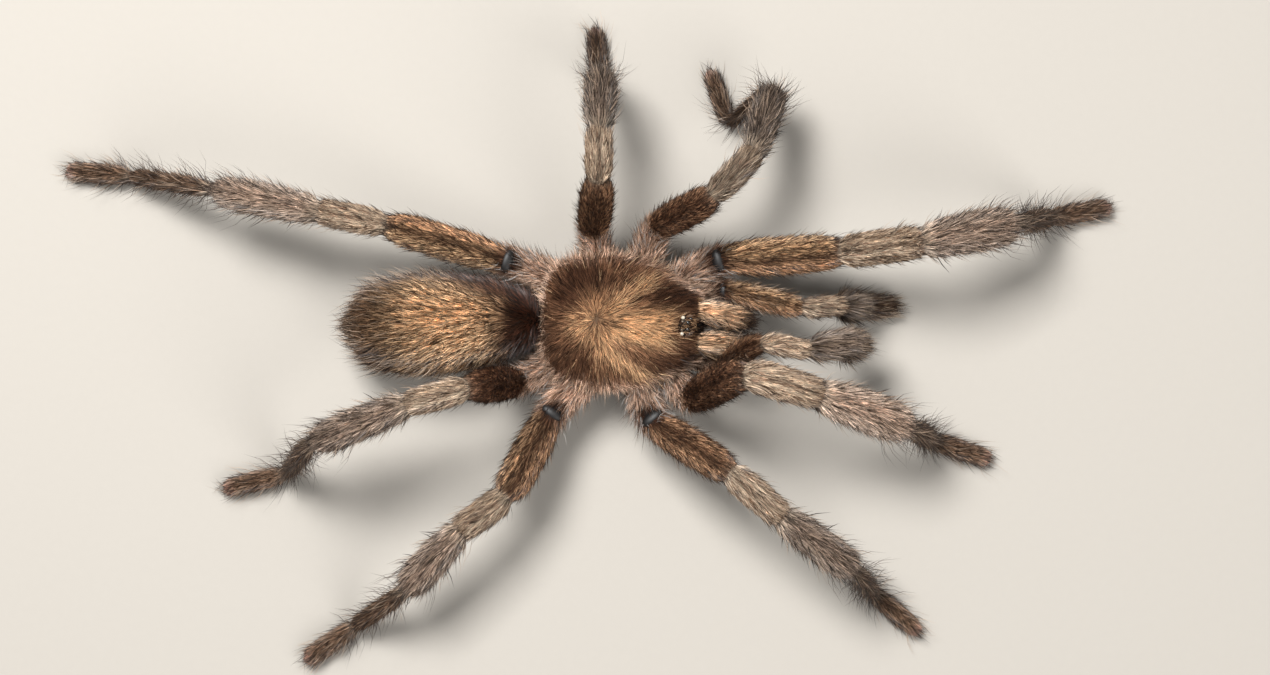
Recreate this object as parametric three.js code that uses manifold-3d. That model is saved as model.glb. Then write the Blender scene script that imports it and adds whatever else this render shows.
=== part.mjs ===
// A tarantula in mid-stride, life size, as a museum model.
// Millimetres: +X is ahead of the animal, +Y is to its left, +Z is up, and the floor is z = 0.
// Every solid reaches to the tips of the coat. Each part of the body is a section carried along a path.
import * as THREE from "three";
import { mergeVertices } from "three/addons/utils/BufferGeometryUtils.js";
import Module from "manifold-3d";

const wasm = await Module();
wasm.setup();

// ---------------------------------------------------------------- driving dimensions

const GAP = 0.3; // between neighbouring solids
const CARAPACE = { length: 15.4, halfWidth: 6.45, rim: 6.8, crown: 9.9, turn: -3.5 };
const ABDOMEN = { length: 18.7, halfWidth: 5.0, top: 11.5, bottom: 1.7, front: [-8.1, 0.3], turn: 2.4 };
const HIP_HEIGHT = 5.4; // where a trochanter meets its femur
const ROOT_HEIGHT = 4.4; // where a coxa leaves the sternum
const SOLE = { heel: 1.08, toe: 0.66 }; // height of a tarsus's own line above the floor

// Coxa with trochanter, femur, patella, tibia, metatarsus and tarsus of each pair, front to back: the
// place of the coxa's root ahead of and beside the middle, the lengths of the others, and half widths.
const LEG_PAIRS = [
  { root: [4.5, 3.6], lengths: [13.4, 8.6, 11.2, 8.8, 6.2], girths: [1.5, 1.9, 1.8, 1.95, 1.12, 1.12] },
  { root: [1.7, 3.6], lengths: [11.8, 6.9, 9.8, 8.6, 6.2], girths: [1.55, 1.8, 1.6, 1.65, 1.02, 1.08] },
  { root: [-1.3, 3.6], lengths: [10.5, 5.7, 8.8, 9.2, 6.2], girths: [1.55, 1.85, 1.6, 1.65, 1.0, 1.15] },
  { root: [-4.3, 3.2], lengths: [13.8, 6.7, 11.8, 11.6, 6.6], girths: [1.5, 1.75, 1.5, 1.6, 1.0, 1.12] },
];
// Coxa with trochanter, femur, patella, tibia and tarsus of a pedipalp.
const PALP = { root: [6.2, 1.6], lengths: [9.2, 4.9, 5.4, 3.8], girths: [1.05, 1.25, 1.15, 1.35, 1.2] };

// Where each leg is in its stride. hip is the plan position of the trochanter's end, yaw the heading of
// each segment from the femur on, and pitch the slope of femur, patella and tibia, in degrees. The
// metatarsus drops from the tibia to the sole, outwards or, if it is tucked, back under the knee. size
// allows for a smaller leg.
const SMALL = { tucked: true, size: 0.93 };
const LEGS = [
  { side: "left", pair: 1, hip: [9.4, 6.3], yaw: [3, 7, 11, 11, 10], pitch: [17, 28, -23] },
  { side: "left", pair: 2, hip: [3.3, 9.4], yaw: [26, 47, 72, 38, 109], pitch: [54, -18, -38], ...SMALL },
  { side: "left", pair: 3, hip: [-2.8, 8.8], yaw: [82, 89, 89, 79, 94], pitch: [59, 12.5, -41.5], ...SMALL },
  { side: "left", pair: 4, hip: [-10.9, 6], yaw: [163.5, 169, 168, 170, 175], pitch: [18, 18, -16] },
  { side: "right", pair: 1, hip: [6.9, -7.8], yaw: [29, -16, -20, -30, -18], pitch: [64, -25, -23] },
  { side: "right", pair: 2, hip: [3.0, -9.9], yaw: [-32, -41, -37, -50, -41], pitch: [38, -13, -12] },
  { side: "right", pair: 3, hip: [-6.7, -8.7], yaw: [-118, -145, -132, -144, -145], pitch: [18, 14, -16] },
  { side: "right", pair: 4, hip: [-10.3, -6.0], yaw: [-175, -165, -158, -133, -166], pitch: [72, -20, -22] },
];
// The left palp feels the floor, and the right one is lifted with its tarsus hanging.
const PALPS = [
  { side: "left", hip: [10.0, 3.4], yaw: [-14, 3, 0, 0], pitch: [26, -30, -75, -2] },
  { side: "right", hip: [9.6, -4.7], yaw: [33, -10, 12, -125], pitch: [57, -14, -24, -68] },
];

// The jaws: how far each one is turned from +X and how far it hangs lower than level.
const JAWS = [
  { side: "left", toLeft: 1, turn: -9, droop: 0 },
  { side: "right", toLeft: -1, turn: -6, droop: 0.6 },
];
// Eyes on their mound: how far ahead of its middle, how far to the side, and radius.
const EYES = {
  anterior_median: { ahead: 0.2, aside: 0.33, radius: 0.24 },
  anterior_lateral: { ahead: 0.48, aside: 0.72, radius: 0.22 },
  posterior_median: { ahead: -0.34, aside: 0.42, radius: 0.15 },
  posterior_lateral: { ahead: -0.3, aside: 0.8, radius: 0.2 },
};
const MOUND = { ahead: 6.55, base: 9.45, halfLength: 0.82, halfWidth: 1.15, rise: 1.15 };

// ---------------------------------------------------------------- finishes

const finish = (color, roughness) => new THREE.MeshStandardMaterial({ color, roughness, metalness: 0 });
const FINISH = {
  carapace: finish(0x8a6a48, 0.7),
  abdomen: finish(0xa8875c, 0.75),
  leg: finish(0x8f8070, 0.75),
  femur: finish(0x9a744c, 0.75),
  underside: finish(0x4a3a30, 0.8),
  jaw: finish(0xa98c68, 0.7),
  fang: finish(0x1c1210, 0.25),
  mound: finish(0x2a1c16, 0.4),
  darkEye: finish(0x0a0808, 0.1),
  paleEye: finish(0xd8d4c8, 0.15),
};

// ---------------------------------------------------------------- curves and sections

const { degToRad, clamp, lerp } = THREE.MathUtils;

/** A smooth curve through [place, value] points, level beyond its ends. */
function through(points) {
  const slope = points.map((_, i) => {
    const [before, after] = [points[Math.max(i - 1, 0)], points[Math.min(i + 1, points.length - 1)]];
    return (after[1] - before[1]) / (after[0] - before[0]);
  });
  return (place) => {
    if (place <= points[0][0]) return points[0][1];
    if (place >= points.at(-1)[0]) return points.at(-1)[1];
    const i = points.findIndex(([p]) => p > place) - 1;
    const [[p0, v0], [p1, v1]] = [points[i], points[i + 1]];
    const span = p1 - p0;
    const t = (place - p0) / span;
    const [t2, t3] = [t * t, t * t * t];
    const bow = (t3 - 2 * t2 + t) * span * slope[i] + (t3 - t2) * span * slope[i + 1];
    return lerp(v0, v1, 3 * t2 - 2 * t3) + bow;
  };
}

/** Rounds both ends of a piece: 0 at place 0 and 1, and 1 between start and 1 - end. */
function domed(place, start, end) {
  const near = clamp(Math.min(place / start, (1 - place) / end), 0, 1);
  return Math.sqrt(1 - (1 - near) ** 2);
}

/** n + 1 places from 0 to 1, closer together at both ends. */
const eased = (n) => Array.from({ length: n + 1 }, (_, i) => (1 - Math.cos((Math.PI * i) / n)) / 2);

/** The unit vector of a heading and a slope, in degrees. */
function heading(yaw, pitch) {
  const [y, p] = [degToRad(yaw), degToRad(pitch)];
  return new THREE.Vector3(Math.cos(p) * Math.cos(y), Math.cos(p) * Math.sin(y), Math.sin(p));
}

/** The animal's right-hand side of a heading, level with the floor. */
const rightOf = (yaw) => heading(yaw - 90, 0);

/** A straight path: place 0 is its start and 1 its end. */
function straight(start, end, right) {
  const tangent = end.clone().sub(start).normalize();
  return (place) => ({ centre: start.clone().lerp(end, place), tangent, right });
}

/**
 * The path of a limb through its joints: place i is joint i, and each bend is a quadratic Bezier
 * curve that starts and ends `bend` from its joint.
 */
function limbPath(joints, yaws, bends) {
  const directions = joints.slice(1).map((p, i) => p.clone().sub(joints[i]).normalize());
  const lengths = joints.slice(1).map((p, i) => p.distanceTo(joints[i]));
  return (place) => {
    const joint = clamp(Math.round(place), 0, joints.length - 1);
    const into = clamp(place < joint ? joint - 1 : joint, 0, directions.length - 1);
    const step = (place - joint) * lengths[into];
    const bend = bends[joint] ?? 0;
    const inside = joint > 0 && joint < directions.length;
    if (!inside || Math.abs(step) >= bend) {
      const centre = joints[joint].clone().addScaledVector(directions[into], step);
      return { centre, tangent: directions[into], right: rightOf(yaws[into]) };
    }
    const start = joints[joint].clone().addScaledVector(directions[joint - 1], -bend);
    const end = joints[joint].clone().addScaledVector(directions[joint], bend);
    const curve = new THREE.QuadraticBezierCurve3(start, joints[joint], end);
    const t = 0.5 + step / (2 * bend);
    const right = rightOf(yaws[joint - 1]).lerp(rightOf(yaws[joint]), t);
    return { centre: curve.getPoint(t), tangent: curve.getTangent(t), right };
  };
}

/**
 * Carries a section along a path. section(place) gives the half width, the height above the path and the
 * depth below it; power 2 makes it round and more makes it boxier. Nothing goes below the floor.
 */
function loft(path, places, sides, section) {
  const tube = new THREE.CylinderGeometry(1, 1, 1, sides, places.length - 1);
  const spots = tube.getAttribute("position");
  for (let i = 0; i < spots.count; i++) {
    const place = places[Math.round((spots.getY(i) + 0.5) * (places.length - 1))];
    const { centre, tangent, right } = path(place);
    const across = right.clone().addScaledVector(tangent, -right.dot(tangent)).normalize();
    const up = across.clone().cross(tangent);
    const { wide, above, below, power = 2 } = section(place);
    const [x, z] = [spots.getX(i), spots.getZ(i)];
    const bulge = (v) => Math.sign(v) * Math.abs(v) ** (2 / power);
    const spot = centre
      .clone()
      .addScaledVector(across, bulge(x) * wide)
      .addScaledVector(up, bulge(z) * (z > 0 ? above : below));
    spots.setXYZ(i, spot.x, spot.y, Math.max(spot.z, 0));
  }
  return closed(tube);
}

/** The same surface with only its positions, each corner shared. */
function closed(geometry) {
  geometry.deleteAttribute("normal");
  geometry.deleteAttribute("uv");
  return mergeVertices(geometry, 1e-4);
}

const solidOf = (geometry) =>
  new wasm.Manifold(
    new wasm.Mesh({
      numProp: 3,
      vertProperties: geometry.getAttribute("position").array,
      triVerts: new Uint32Array(geometry.index.array),
    }),
  );

function geometryOf(solid) {
  const { vertProperties, triVerts } = solid.getMesh();
  return new THREE.BufferGeometry()
    .setAttribute("position", new THREE.BufferAttribute(vertProperties, 3))
    .setIndex(new THREE.BufferAttribute(triVerts, 1));
}

const spider = new THREE.Group();

function add(name, geometry, material) {
  geometry.computeVertexNormals();
  const mesh = new THREE.Mesh(geometry, material);
  mesh.name = name;
  spider.add(mesh);
}

// ---------------------------------------------------------------- front body

/** A point of the front body, whose own line is turned a little from +X. */
const fore = (ahead, left, height) =>
  new THREE.Vector3(ahead, left, height).applyAxisAngle(new THREE.Vector3(0, 0, 1), degToRad(CARAPACE.turn));
const foreRight = rightOf(CARAPACE.turn);

function addCarapace() {
  const half = CARAPACE.length / 2;
  // Plan outline and the height of the back, by place from the rear edge to the front edge.
  const outline = through([
    [0, 0.62], [0.08, 0.8], [0.2, 0.94], [0.4, 1], [0.55, 0.985], [0.7, 0.88], [0.85, 0.72], [0.94, 0.62],
    [1, 0.58],
  ]);
  const back = through([
    [0, 0.2], [0.12, 0.55], [0.3, 0.72], [0.42, 0.74], [0.6, 0.86], [0.8, 0.99], [0.92, 1], [1, 0.85],
  ]);
  const rise = CARAPACE.crown - CARAPACE.rim;
  const path = straight(fore(-half, 0, CARAPACE.rim), fore(half, 0, CARAPACE.rim), foreRight);
  const geometry = loft(path, eased(14), 18, (place) => ({
    wide: CARAPACE.halfWidth * outline(place) * domed(place, 0.1, 0.045),
    above: rise * back(place) * domed(place, 0.06, 0.05) + 0.05,
    below: 0.3 + 0.1 * domed(place, 0.1, 0.1),
    power: 2.1,
  }));
  add("carapace", geometry, FINISH.carapace);
  return geometry;
}

function addMoundAndEyes(carapace) {
  const { ahead, base, halfLength, halfWidth, rise } = MOUND;
  const path = straight(fore(ahead - halfLength, 0, base), fore(ahead + halfLength, 0, base), foreRight);
  const whole = loft(path, eased(8), 12, (place) => ({
    wide: halfWidth * domed(place, 0.5, 0.5) + 0.04,
    above: rise * domed(place, 0.5, 0.5) + 0.04,
    below: 0.3,
  }));
  // The mound is hollowed underneath to the carapace's own curve, and has a socket for each eye.
  let mound = solidOf(whole).subtract(solidOf(carapace).translate([0, 0, 0.1]));
  for (const [side, toLeft] of [["left", 1], ["right", -1]]) {
    for (const [name, eye] of Object.entries(EYES)) {
      const out = (eye.ahead / halfLength) ** 2 + (eye.aside / halfWidth) ** 2;
      const height = base + rise * Math.sqrt(1 - out);
      const centre = fore(ahead + eye.ahead, toLeft * eye.aside, height);
      const ball = (radius) => closed(new THREE.SphereGeometry(radius, 8, 6)).translate(...centre);
      mound = mound.subtract(solidOf(ball(eye.radius + 0.03)));
      const lens = name.startsWith("anterior") ? FINISH.darkEye : FINISH.paleEye;
      add(`eye_${side}_${name}`, ball(eye.radius), lens);
    }
  }
  add("eye_mound", geometryOf(mound), FINISH.mound);
}

function addSternum() {
  const path = straight(fore(-5.4, 0, 4.4), fore(6.2, 0, 4.4), foreRight);
  const outline = through([[0, 0.35], [0.25, 0.8], [0.6, 1], [0.8, 0.85], [1, 0.5]]);
  const geometry = loft(path, eased(7), 10, (place) => ({
    wide: 2.75 * outline(place) * domed(place, 0.12, 0.12) + 0.1,
    above: 1.55 * domed(place, 0.1, 0.1) + 0.2,
    below: 1.65 * domed(place, 0.15, 0.15) + 0.1,
    power: 2.6,
  }));
  add("sternum", geometry, FINISH.underside);
}

function addJaws() {
  // Each jaw swells over its base, droops ahead and ends in a blunt tip over its folded fang.
  const girth = through([[0, 0.9], [0.3, 1], [0.6, 0.93], [0.85, 0.72], [1, 0.5]]);
  for (const { side, toLeft, turn, droop } of JAWS) {
    const root = fore(CARAPACE.length / 2 + GAP, 1.5 * toLeft, 0);
    const [onward, inwards] = [heading(turn, 0), rightOf(turn).multiplyScalar(toLeft)];
    const spot = (forward, inward, height) =>
      root.clone().addScaledVector(onward, forward).addScaledVector(inwards, inward).setZ(height);
    const joints = [spot(0.2, 0, 7.5), spot(2.8, 0, 7.1 - droop / 2), spot(4.9, 0.1, 4.7 - droop)];
    const path = limbPath(joints, [turn, turn], [0, 2.2, 0]);
    const jaw = loft(path, eased(8).map((p) => p * 2), 12, (place) => {
      const size = girth(place / 2) * domed(place / 2, 0.12, 0.2);
      return { wide: 1.33 * size + 0.06, above: 1.95 * size + 0.06, below: 1.7 * size + 0.06, power: 2.2 };
    });
    // A palp raised across its jaw presses into the jaw's coat.
    const palp = solidOf(spider.getObjectByName(`palp_${side}_femur`).geometry);
    const clear = [[0, 0, 0], [0, 0, -GAP], [0, -GAP * toLeft, 0]].map((shift) => palp.translate(shift));
    const pressed = clear.reduce((solid, near) => solid.subtract(near), solidOf(jaw));
    add(`jaw_${side}`, geometryOf(pressed), FINISH.jaw);

    // The fang hangs from the jaw's tip and folds back under it.
    const fangHeights = [4.15, 2.1, 3.1].map((height) => height - droop);
    const fangJoints = [4.7, 4.3, 1.1].map((ahead, i) => spot(ahead, 0.1 * (i + 1), fangHeights[i]));
    const fangPath = limbPath(fangJoints, [turn + 180, turn + 180], [0, 1.5, 0]);
    const fang = loft(fangPath, eased(6).map((p) => p * 2), 8, (place) => {
      const radius = lerp(0.5, 0.16, place / 2) * domed(place / 2, 0.15, 0.1) + 0.05;
      return { wide: radius, above: radius, below: radius };
    });
    add(`fang_${side}`, fang, FINISH.fang);
  }
}

// ---------------------------------------------------------------- rear body

/** A point of the abdomen, behind its front end on its own line. */
const rear = (behind, left, height) =>
  new THREE.Vector3(...ABDOMEN.front, 0)
    .addScaledVector(heading(180 + ABDOMEN.turn, 0), behind)
    .addScaledVector(heading(90 + ABDOMEN.turn, 0), left)
    .setZ(height);

function addAbdomen() {
  const middle = (ABDOMEN.top + ABDOMEN.bottom) / 2;
  const halfHeight = (ABDOMEN.top - ABDOMEN.bottom) / 2;
  const outline = through([
    [0, 0.4], [0.08, 0.58], [0.22, 0.8], [0.4, 0.94], [0.55, 1], [0.7, 0.98], [0.85, 0.86], [0.95, 0.66],
    [1, 0.52],
  ]);
  const right = rightOf(180 + ABDOMEN.turn);
  const path = straight(rear(0, 0, middle), rear(ABDOMEN.length, 0, middle - 0.6), right);
  const abdomen = loft(path, eased(12), 16, (place) => {
    const across = outline(place) * domed(place, 0.06, 0.12);
    const under = outline(place) * domed(place, 0.06, 0.2);
    return {
      wide: ABDOMEN.halfWidth * across + 0.1,
      above: halfHeight * across + 0.1,
      below: halfHeight * under + 0.1,
    };
  });
  add("abdomen", abdomen, FINISH.abdomen);

  const waist = straight(fore(-6.0, 0, 5.0), rear(-GAP, 0, 5.9), foreRight.clone().negate());
  const pedicel = loft(waist, eased(4), 8, (place) => {
    const radius = 0.65 * domed(place, 0.2, 0.2) + 0.15;
    return { wide: radius * 1.3, above: radius * 0.8, below: radius };
  });
  add("pedicel", pedicel, FINISH.underside);

  for (const [side, toLeft] of [["left", 1], ["right", -1]]) {
    const start = rear(ABDOMEN.length - 2.4, 0.8 * toLeft, 1.75);
    const end = rear(ABDOMEN.length + 0.1, 1.2 * toLeft, 1.6);
    const spinneret = loft(straight(start, end, right), eased(5), 8, (place) => {
      const radius = lerp(0.62, 0.4, place) * domed(place, 0.15, 0.2) + 0.08;
      return { wide: radius, above: radius, below: radius };
    });
    add(`spinneret_${side}`, spinneret, FINISH.underside);
  }
}

// ---------------------------------------------------------------- limbs

/** Half widths along a limb: fullest inside each segment and waisted at the joints. */
function limbGirth(girths) {
  const points = [[0, girths[0] * 0.6]];
  girths.forEach((girth, i) => {
    const next = girths[i + 1] ?? girth;
    points.push([i + 0.35, girth], [i + 0.78, girth * 0.98]);
    points.push([i + 1, 0.88 * Math.min(girth, next) + 0.04 * Math.max(girth, next)]);
  });
  return through(points);
}

/** Places of the rings of one solid that runs from one joint to another, a half gap short of both. */
function ringPlaces(from, to, lengths) {
  const inset = (joint, segment) => (0.62 * GAP) / lengths[segment];
  const places = [];
  for (let i = from; i < to; i++) {
    const start = i === from ? i + inset(i, i) : i;
    const end = i + 1 === to ? i + 1 - inset(i + 1, i) : i + 1;
    const steps = i === from ? [0, 0.06, 0.3, 0.75, 0.95] : [0, 0.2, 0.6, 0.94];
    places.push(...steps.map((step) => lerp(start, end, step)));
    if (i + 1 === to) places.push(end);
  }
  return places;
}

/** One solid of a limb, between two of its joints. A foot's end is rounded. */
function limbSolid(path, from, to, lengths, girth, foot = false) {
  return loft(path, ringPlaces(from, to, lengths), 10, (place) => {
    const part = (place - from) / (to - from);
    const bevel = 0.86 + 0.14 * domed(part, 0.05, foot ? 1e-3 : 0.05);
    const toe = foot ? 0.35 + 0.65 * domed(1 - (to - place) / 2, 1e-3, 0.09) : 1;
    const radius = girth(place) * bevel * toe;
    return { wide: radius, above: radius * 1.04, below: radius * bevel, power: 2.1 };
  });
}

/** Adds the four solids of a limb, whose joints are its root, its hip and those beyond. */
function addLimb(name, joints, yaws, bends, girths) {
  const rootYaw = THREE.MathUtils.radToDeg(Math.atan2(joints[1].y - joints[0].y, joints[1].x - joints[0].x));
  const path = limbPath(joints, [rootYaw, ...yaws], bends);
  const lengths = joints.slice(1).map((joint, i) => joint.distanceTo(joints[i]));
  const girth = limbGirth(girths);
  const last = joints.length - 1;
  add(`${name}_coxa`, limbSolid(path, 0, 1, lengths, girth), FINISH.underside);
  add(`${name}_femur`, limbSolid(path, 1, 2, lengths, girth), FINISH.femur);
  add(`${name}_tibia`, limbSolid(path, 2, 4, lengths, girth), FINISH.leg);
  add(`${name}_foot`, limbSolid(path, 4, last, lengths, girth, true), FINISH.leg);
}

const slopeTo = (drop, length) => THREE.MathUtils.radToDeg(Math.asin(drop / length));

function addLeg({ side, pair, hip, yaw, pitch, tucked = false, size = 1 }) {
  const { root, lengths: full, girths } = LEG_PAIRS[pair - 1];
  const lengths = full.map((length) => length * size);
  const start = fore(root[0], root[1] * (side === "left" ? 1 : -1), ROOT_HEIGHT);
  const joints = [start, new THREE.Vector3(...hip, HIP_HEIGHT)];
  const extend = (i, slope) =>
    joints.push(joints.at(-1).clone().addScaledVector(heading(yaw[i], slope), lengths[i]));
  pitch.forEach((slope, i) => extend(i, slope));
  const [heel, toe] = [SOLE.heel * size, SOLE.toe * size];
  const drop = slopeTo(joints.at(-1).z - heel, lengths[3]);
  extend(3, tucked ? drop - 180 : -drop);
  extend(4, -slopeTo(heel - toe, lengths[4]));
  const bends = [0, 2.4, 2.9, 1.6, 2.0, 1.6, 0];
  addLimb(`leg_${side}_${pair}`, joints, yaw, bends, girths.map((girth) => girth * size));
}

function addPalp({ side, hip, yaw, pitch }) {
  const { root, lengths, girths } = PALP;
  const joints = [
    fore(root[0], root[1] * (side === "left" ? 1 : -1), ROOT_HEIGHT - 0.5),
    new THREE.Vector3(...hip, HIP_HEIGHT - 0.4),
  ];
  lengths.forEach((length, i) =>
    joints.push(joints[i + 1].clone().addScaledVector(heading(yaw[i], pitch[i]), length)),
  );
  addLimb(`palp_${side}`, joints, yaw, [0, 1.6, 1.9, 1.5, 1.7, 0], girths);
}

// ---------------------------------------------------------------- assembly

addMoundAndEyes(addCarapace());
addSternum();
addAbdomen();
LEGS.forEach(addLeg);
PALPS.forEach(addPalp);
addJaws();

// The part's origin is under the middle of the leg span.
const span = new THREE.Box3().setFromObject(spider).getCenter(new THREE.Vector3());
spider.children.forEach((mesh) => mesh.geometry.translate(-span.x, -span.y, 0));

export default spider;
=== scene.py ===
# %% [markdown]
# # A ground tarantula at life size
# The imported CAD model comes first: it fixes every place and size, in metres. Here it is loaded, and
# its box is kept, so that the finished animal can be compared with it at the end. Everything random
# comes from one seeded generator, so each run gives the same animal.

# %% The frame
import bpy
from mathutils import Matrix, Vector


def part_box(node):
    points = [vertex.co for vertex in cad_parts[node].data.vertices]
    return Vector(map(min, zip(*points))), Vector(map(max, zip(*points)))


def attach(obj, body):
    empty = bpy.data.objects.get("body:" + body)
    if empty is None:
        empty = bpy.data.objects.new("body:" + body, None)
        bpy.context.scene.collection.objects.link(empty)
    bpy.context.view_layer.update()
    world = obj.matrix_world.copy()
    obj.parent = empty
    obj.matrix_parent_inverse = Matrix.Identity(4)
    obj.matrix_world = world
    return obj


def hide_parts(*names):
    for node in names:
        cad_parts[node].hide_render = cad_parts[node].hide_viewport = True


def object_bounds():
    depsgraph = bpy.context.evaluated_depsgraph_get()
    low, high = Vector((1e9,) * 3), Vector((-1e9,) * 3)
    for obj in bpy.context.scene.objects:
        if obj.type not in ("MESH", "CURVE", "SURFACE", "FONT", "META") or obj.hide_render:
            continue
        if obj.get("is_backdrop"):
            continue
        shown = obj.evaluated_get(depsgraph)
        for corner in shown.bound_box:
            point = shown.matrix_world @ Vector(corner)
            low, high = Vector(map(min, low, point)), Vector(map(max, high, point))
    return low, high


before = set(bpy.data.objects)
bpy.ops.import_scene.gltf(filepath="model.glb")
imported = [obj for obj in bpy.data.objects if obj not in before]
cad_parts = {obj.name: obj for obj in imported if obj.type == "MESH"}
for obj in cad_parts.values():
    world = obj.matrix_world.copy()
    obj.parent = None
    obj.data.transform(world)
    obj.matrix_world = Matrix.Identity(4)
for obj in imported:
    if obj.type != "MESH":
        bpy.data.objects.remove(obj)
cad_box = [list(map(float, corner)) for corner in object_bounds()]

import bpy
import numpy as np

MM = 0.001
random = np.random.default_rng(20)
print("CAD nodes", len(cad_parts), "box in mm", np.round(np.array(cad_box) / MM, 2).tolist())

# %% [markdown]
# ## Measures
# A tarantula's front body is a flat shield, its hind body a soft egg, and each leg is a chain of six
# segments. The sizes are those of the CAD solids, in millimetres, so that the skin and its coat can
# be worked out inside them. Each leg has its own stride: the place of its hip, the headings of its
# segments and the slopes of the first three. The last two slopes follow from the heights of heel and toe.

# %% Sizes of the body and limbs
SHIELD = dict(length=15.4, half_width=6.45, rim=6.8, crown=9.9, turn=-3.5)
ABDOMEN = dict(length=18.7, half_width=5.0, top=11.5, bottom=1.7, front=(-8.1, 0.3), turn=2.4)
HIP_HEIGHT, ROOT_HEIGHT, HEEL, TOE = 5.4, 4.4, 1.08, 0.66
# For each pair of legs: how far ahead of and beside the shield's middle its roots lie, the lengths of
# the five segments beyond the hip, and the half widths of all six.
LEG_PAIRS = [
    dict(root=(4.5, 3.6), lengths=(13.4, 8.6, 11.2, 8.8, 6.2), girths=(1.5, 1.9, 1.8, 1.95, 1.12, 1.12)),
    dict(root=(1.7, 3.6), lengths=(11.8, 6.9, 9.8, 8.6, 6.2), girths=(1.55, 1.8, 1.6, 1.65, 1.02, 1.08)),
    dict(root=(-1.3, 3.6), lengths=(10.5, 5.7, 8.8, 9.2, 6.2), girths=(1.55, 1.85, 1.6, 1.65, 1.0, 1.15)),
    dict(root=(-4.3, 3.2), lengths=(13.8, 6.7, 11.8, 11.6, 6.6), girths=(1.5, 1.75, 1.5, 1.6, 1.0, 1.12)),
]
# Headings and slopes are in degrees. Two legs are smaller, and curl back under their own shins.
SMALL = dict(tucked=True, size=0.93)
LEGS = [
    dict(side="left", pair=1, hip=(9.4, 6.3), yaw=(3, 7, 11, 11, 10), pitch=(17, 28, -23)),
    dict(side="left", pair=2, hip=(3.3, 9.4), yaw=(26, 47, 72, 38, 109), pitch=(54, -18, -38), **SMALL),
    dict(side="left", pair=3, hip=(-2.8, 8.8), yaw=(82, 89, 89, 79, 94), pitch=(59, 12.5, -41.5), **SMALL),
    dict(side="left", pair=4, hip=(-10.9, 6), yaw=(163.5, 169, 168, 170, 175), pitch=(18, 18, -16)),
    dict(side="right", pair=1, hip=(6.9, -7.8), yaw=(29, -16, -20, -30, -18), pitch=(64, -25, -23)),
    dict(side="right", pair=2, hip=(3.0, -9.9), yaw=(-32, -41, -37, -50, -41), pitch=(38, -13, -12)),
    dict(side="right", pair=3, hip=(-6.7, -8.7), yaw=(-118, -145, -132, -144, -145), pitch=(18, 14, -16)),
    dict(side="right", pair=4, hip=(-10.3, -6.0), yaw=(-175, -165, -158, -133, -166), pitch=(72, -20, -22)),
]
PALP = dict(root=(6.2, 1.6), lengths=(9.2, 4.9, 5.4, 3.8), girths=(1.05, 1.25, 1.15, 1.35, 1.2))
PALPS = [
    dict(side="left", hip=(10.0, 3.4), yaw=(-14, 3, 0, 0), pitch=(26, -30, -75, -2)),
    dict(side="right", hip=(9.6, -4.7), yaw=(33, -10, 12, -125), pitch=(57, -14, -24, -68)),
]
JAWS = [dict(side="left", to_left=1, turn=-9, droop=0.0), dict(side="right", to_left=-1, turn=-6, droop=0.6)]
# Where the left front eye sits on the mound: how far ahead of the mound's middle and to its left.
FRONT_EYE = (0.2, 0.33)
MOUND = dict(ahead=6.55, base=9.45, half_length=0.82, half_width=1.15, rise=1.15)
print("leg spans in mm", [round(sum(pair["lengths"]), 1) for pair in LEG_PAIRS])

# %% [markdown]
# ## Curves and headings
# Outlines of a body are smooth curves through a few measured points. A cubic curve through the
# points, with each slope taken from its two neighbours, gives them without any bump between. The same
# few helpers turn headings into vectors and find points of the front and the hind body.

# %% Curves and headings
def through(*points):
    """A curve through [place, value] points: a cubic Hermite piece between each two.
    Beyond its ends it stays level."""
    spots, values = np.array(points, float).T
    order = np.arange(len(spots))
    before, after = np.maximum(order - 1, 0), np.minimum(order + 1, len(spots) - 1)
    slopes = (values[after] - values[before]) / (spots[after] - spots[before])

    def curve(place):
        at = np.clip(np.asarray(place, float), spots[0], spots[-1])
        i = np.clip(np.searchsorted(spots, at, side="right") - 1, 0, len(spots) - 2)
        span = spots[i + 1] - spots[i]
        t = (at - spots[i]) / span
        bow = (t**3 - 2 * t**2 + t) * span * slopes[i] + (t**3 - t**2) * span * slopes[i + 1]
        return values[i] + (values[i + 1] - values[i]) * (3 * t**2 - 2 * t**3) + bow

    return curve


def domed(place, start, end):
    """0 at places 0 and 1, and 1 between start and 1 - end: a quarter circle at each end."""
    near = np.clip(np.minimum(place / start, (1 - place) / end), 0, 1)
    return np.sqrt(1 - (1 - near) ** 2)


def heading(yaw, pitch=0.0):
    """The unit vector of a heading and a slope in degrees."""
    y, p = np.radians(yaw), np.radians(pitch)
    return np.array([np.cos(p) * np.cos(y), np.cos(p) * np.sin(y), np.sin(p)])


def unit(vectors):
    """The same vectors with length 1."""
    return vectors / np.maximum(np.linalg.norm(vectors, axis=-1, keepdims=True), 1e-9)


def fore(ahead, left, height):
    """A point of the front body, whose own line is turned a little from +X."""
    return heading(SHIELD["turn"]) * ahead + heading(SHIELD["turn"] + 90) * left + np.array([0, 0, height])


def rear(behind, left, height):
    """A point of the hind body, measured back from its front end on its own line."""
    flat = heading(180 + ABDOMEN["turn"]) * behind + heading(90 + ABDOMEN["turn"]) * left
    return flat + np.array([*ABDOMEN["front"], height])


def node_ball(name):
    """The middle of a node's box, and half its longest side, in millimetres of the frame."""
    low, high = (np.array(corner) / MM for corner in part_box(name))
    return (low + high) / 2, (high - low).max() / 2


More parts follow.
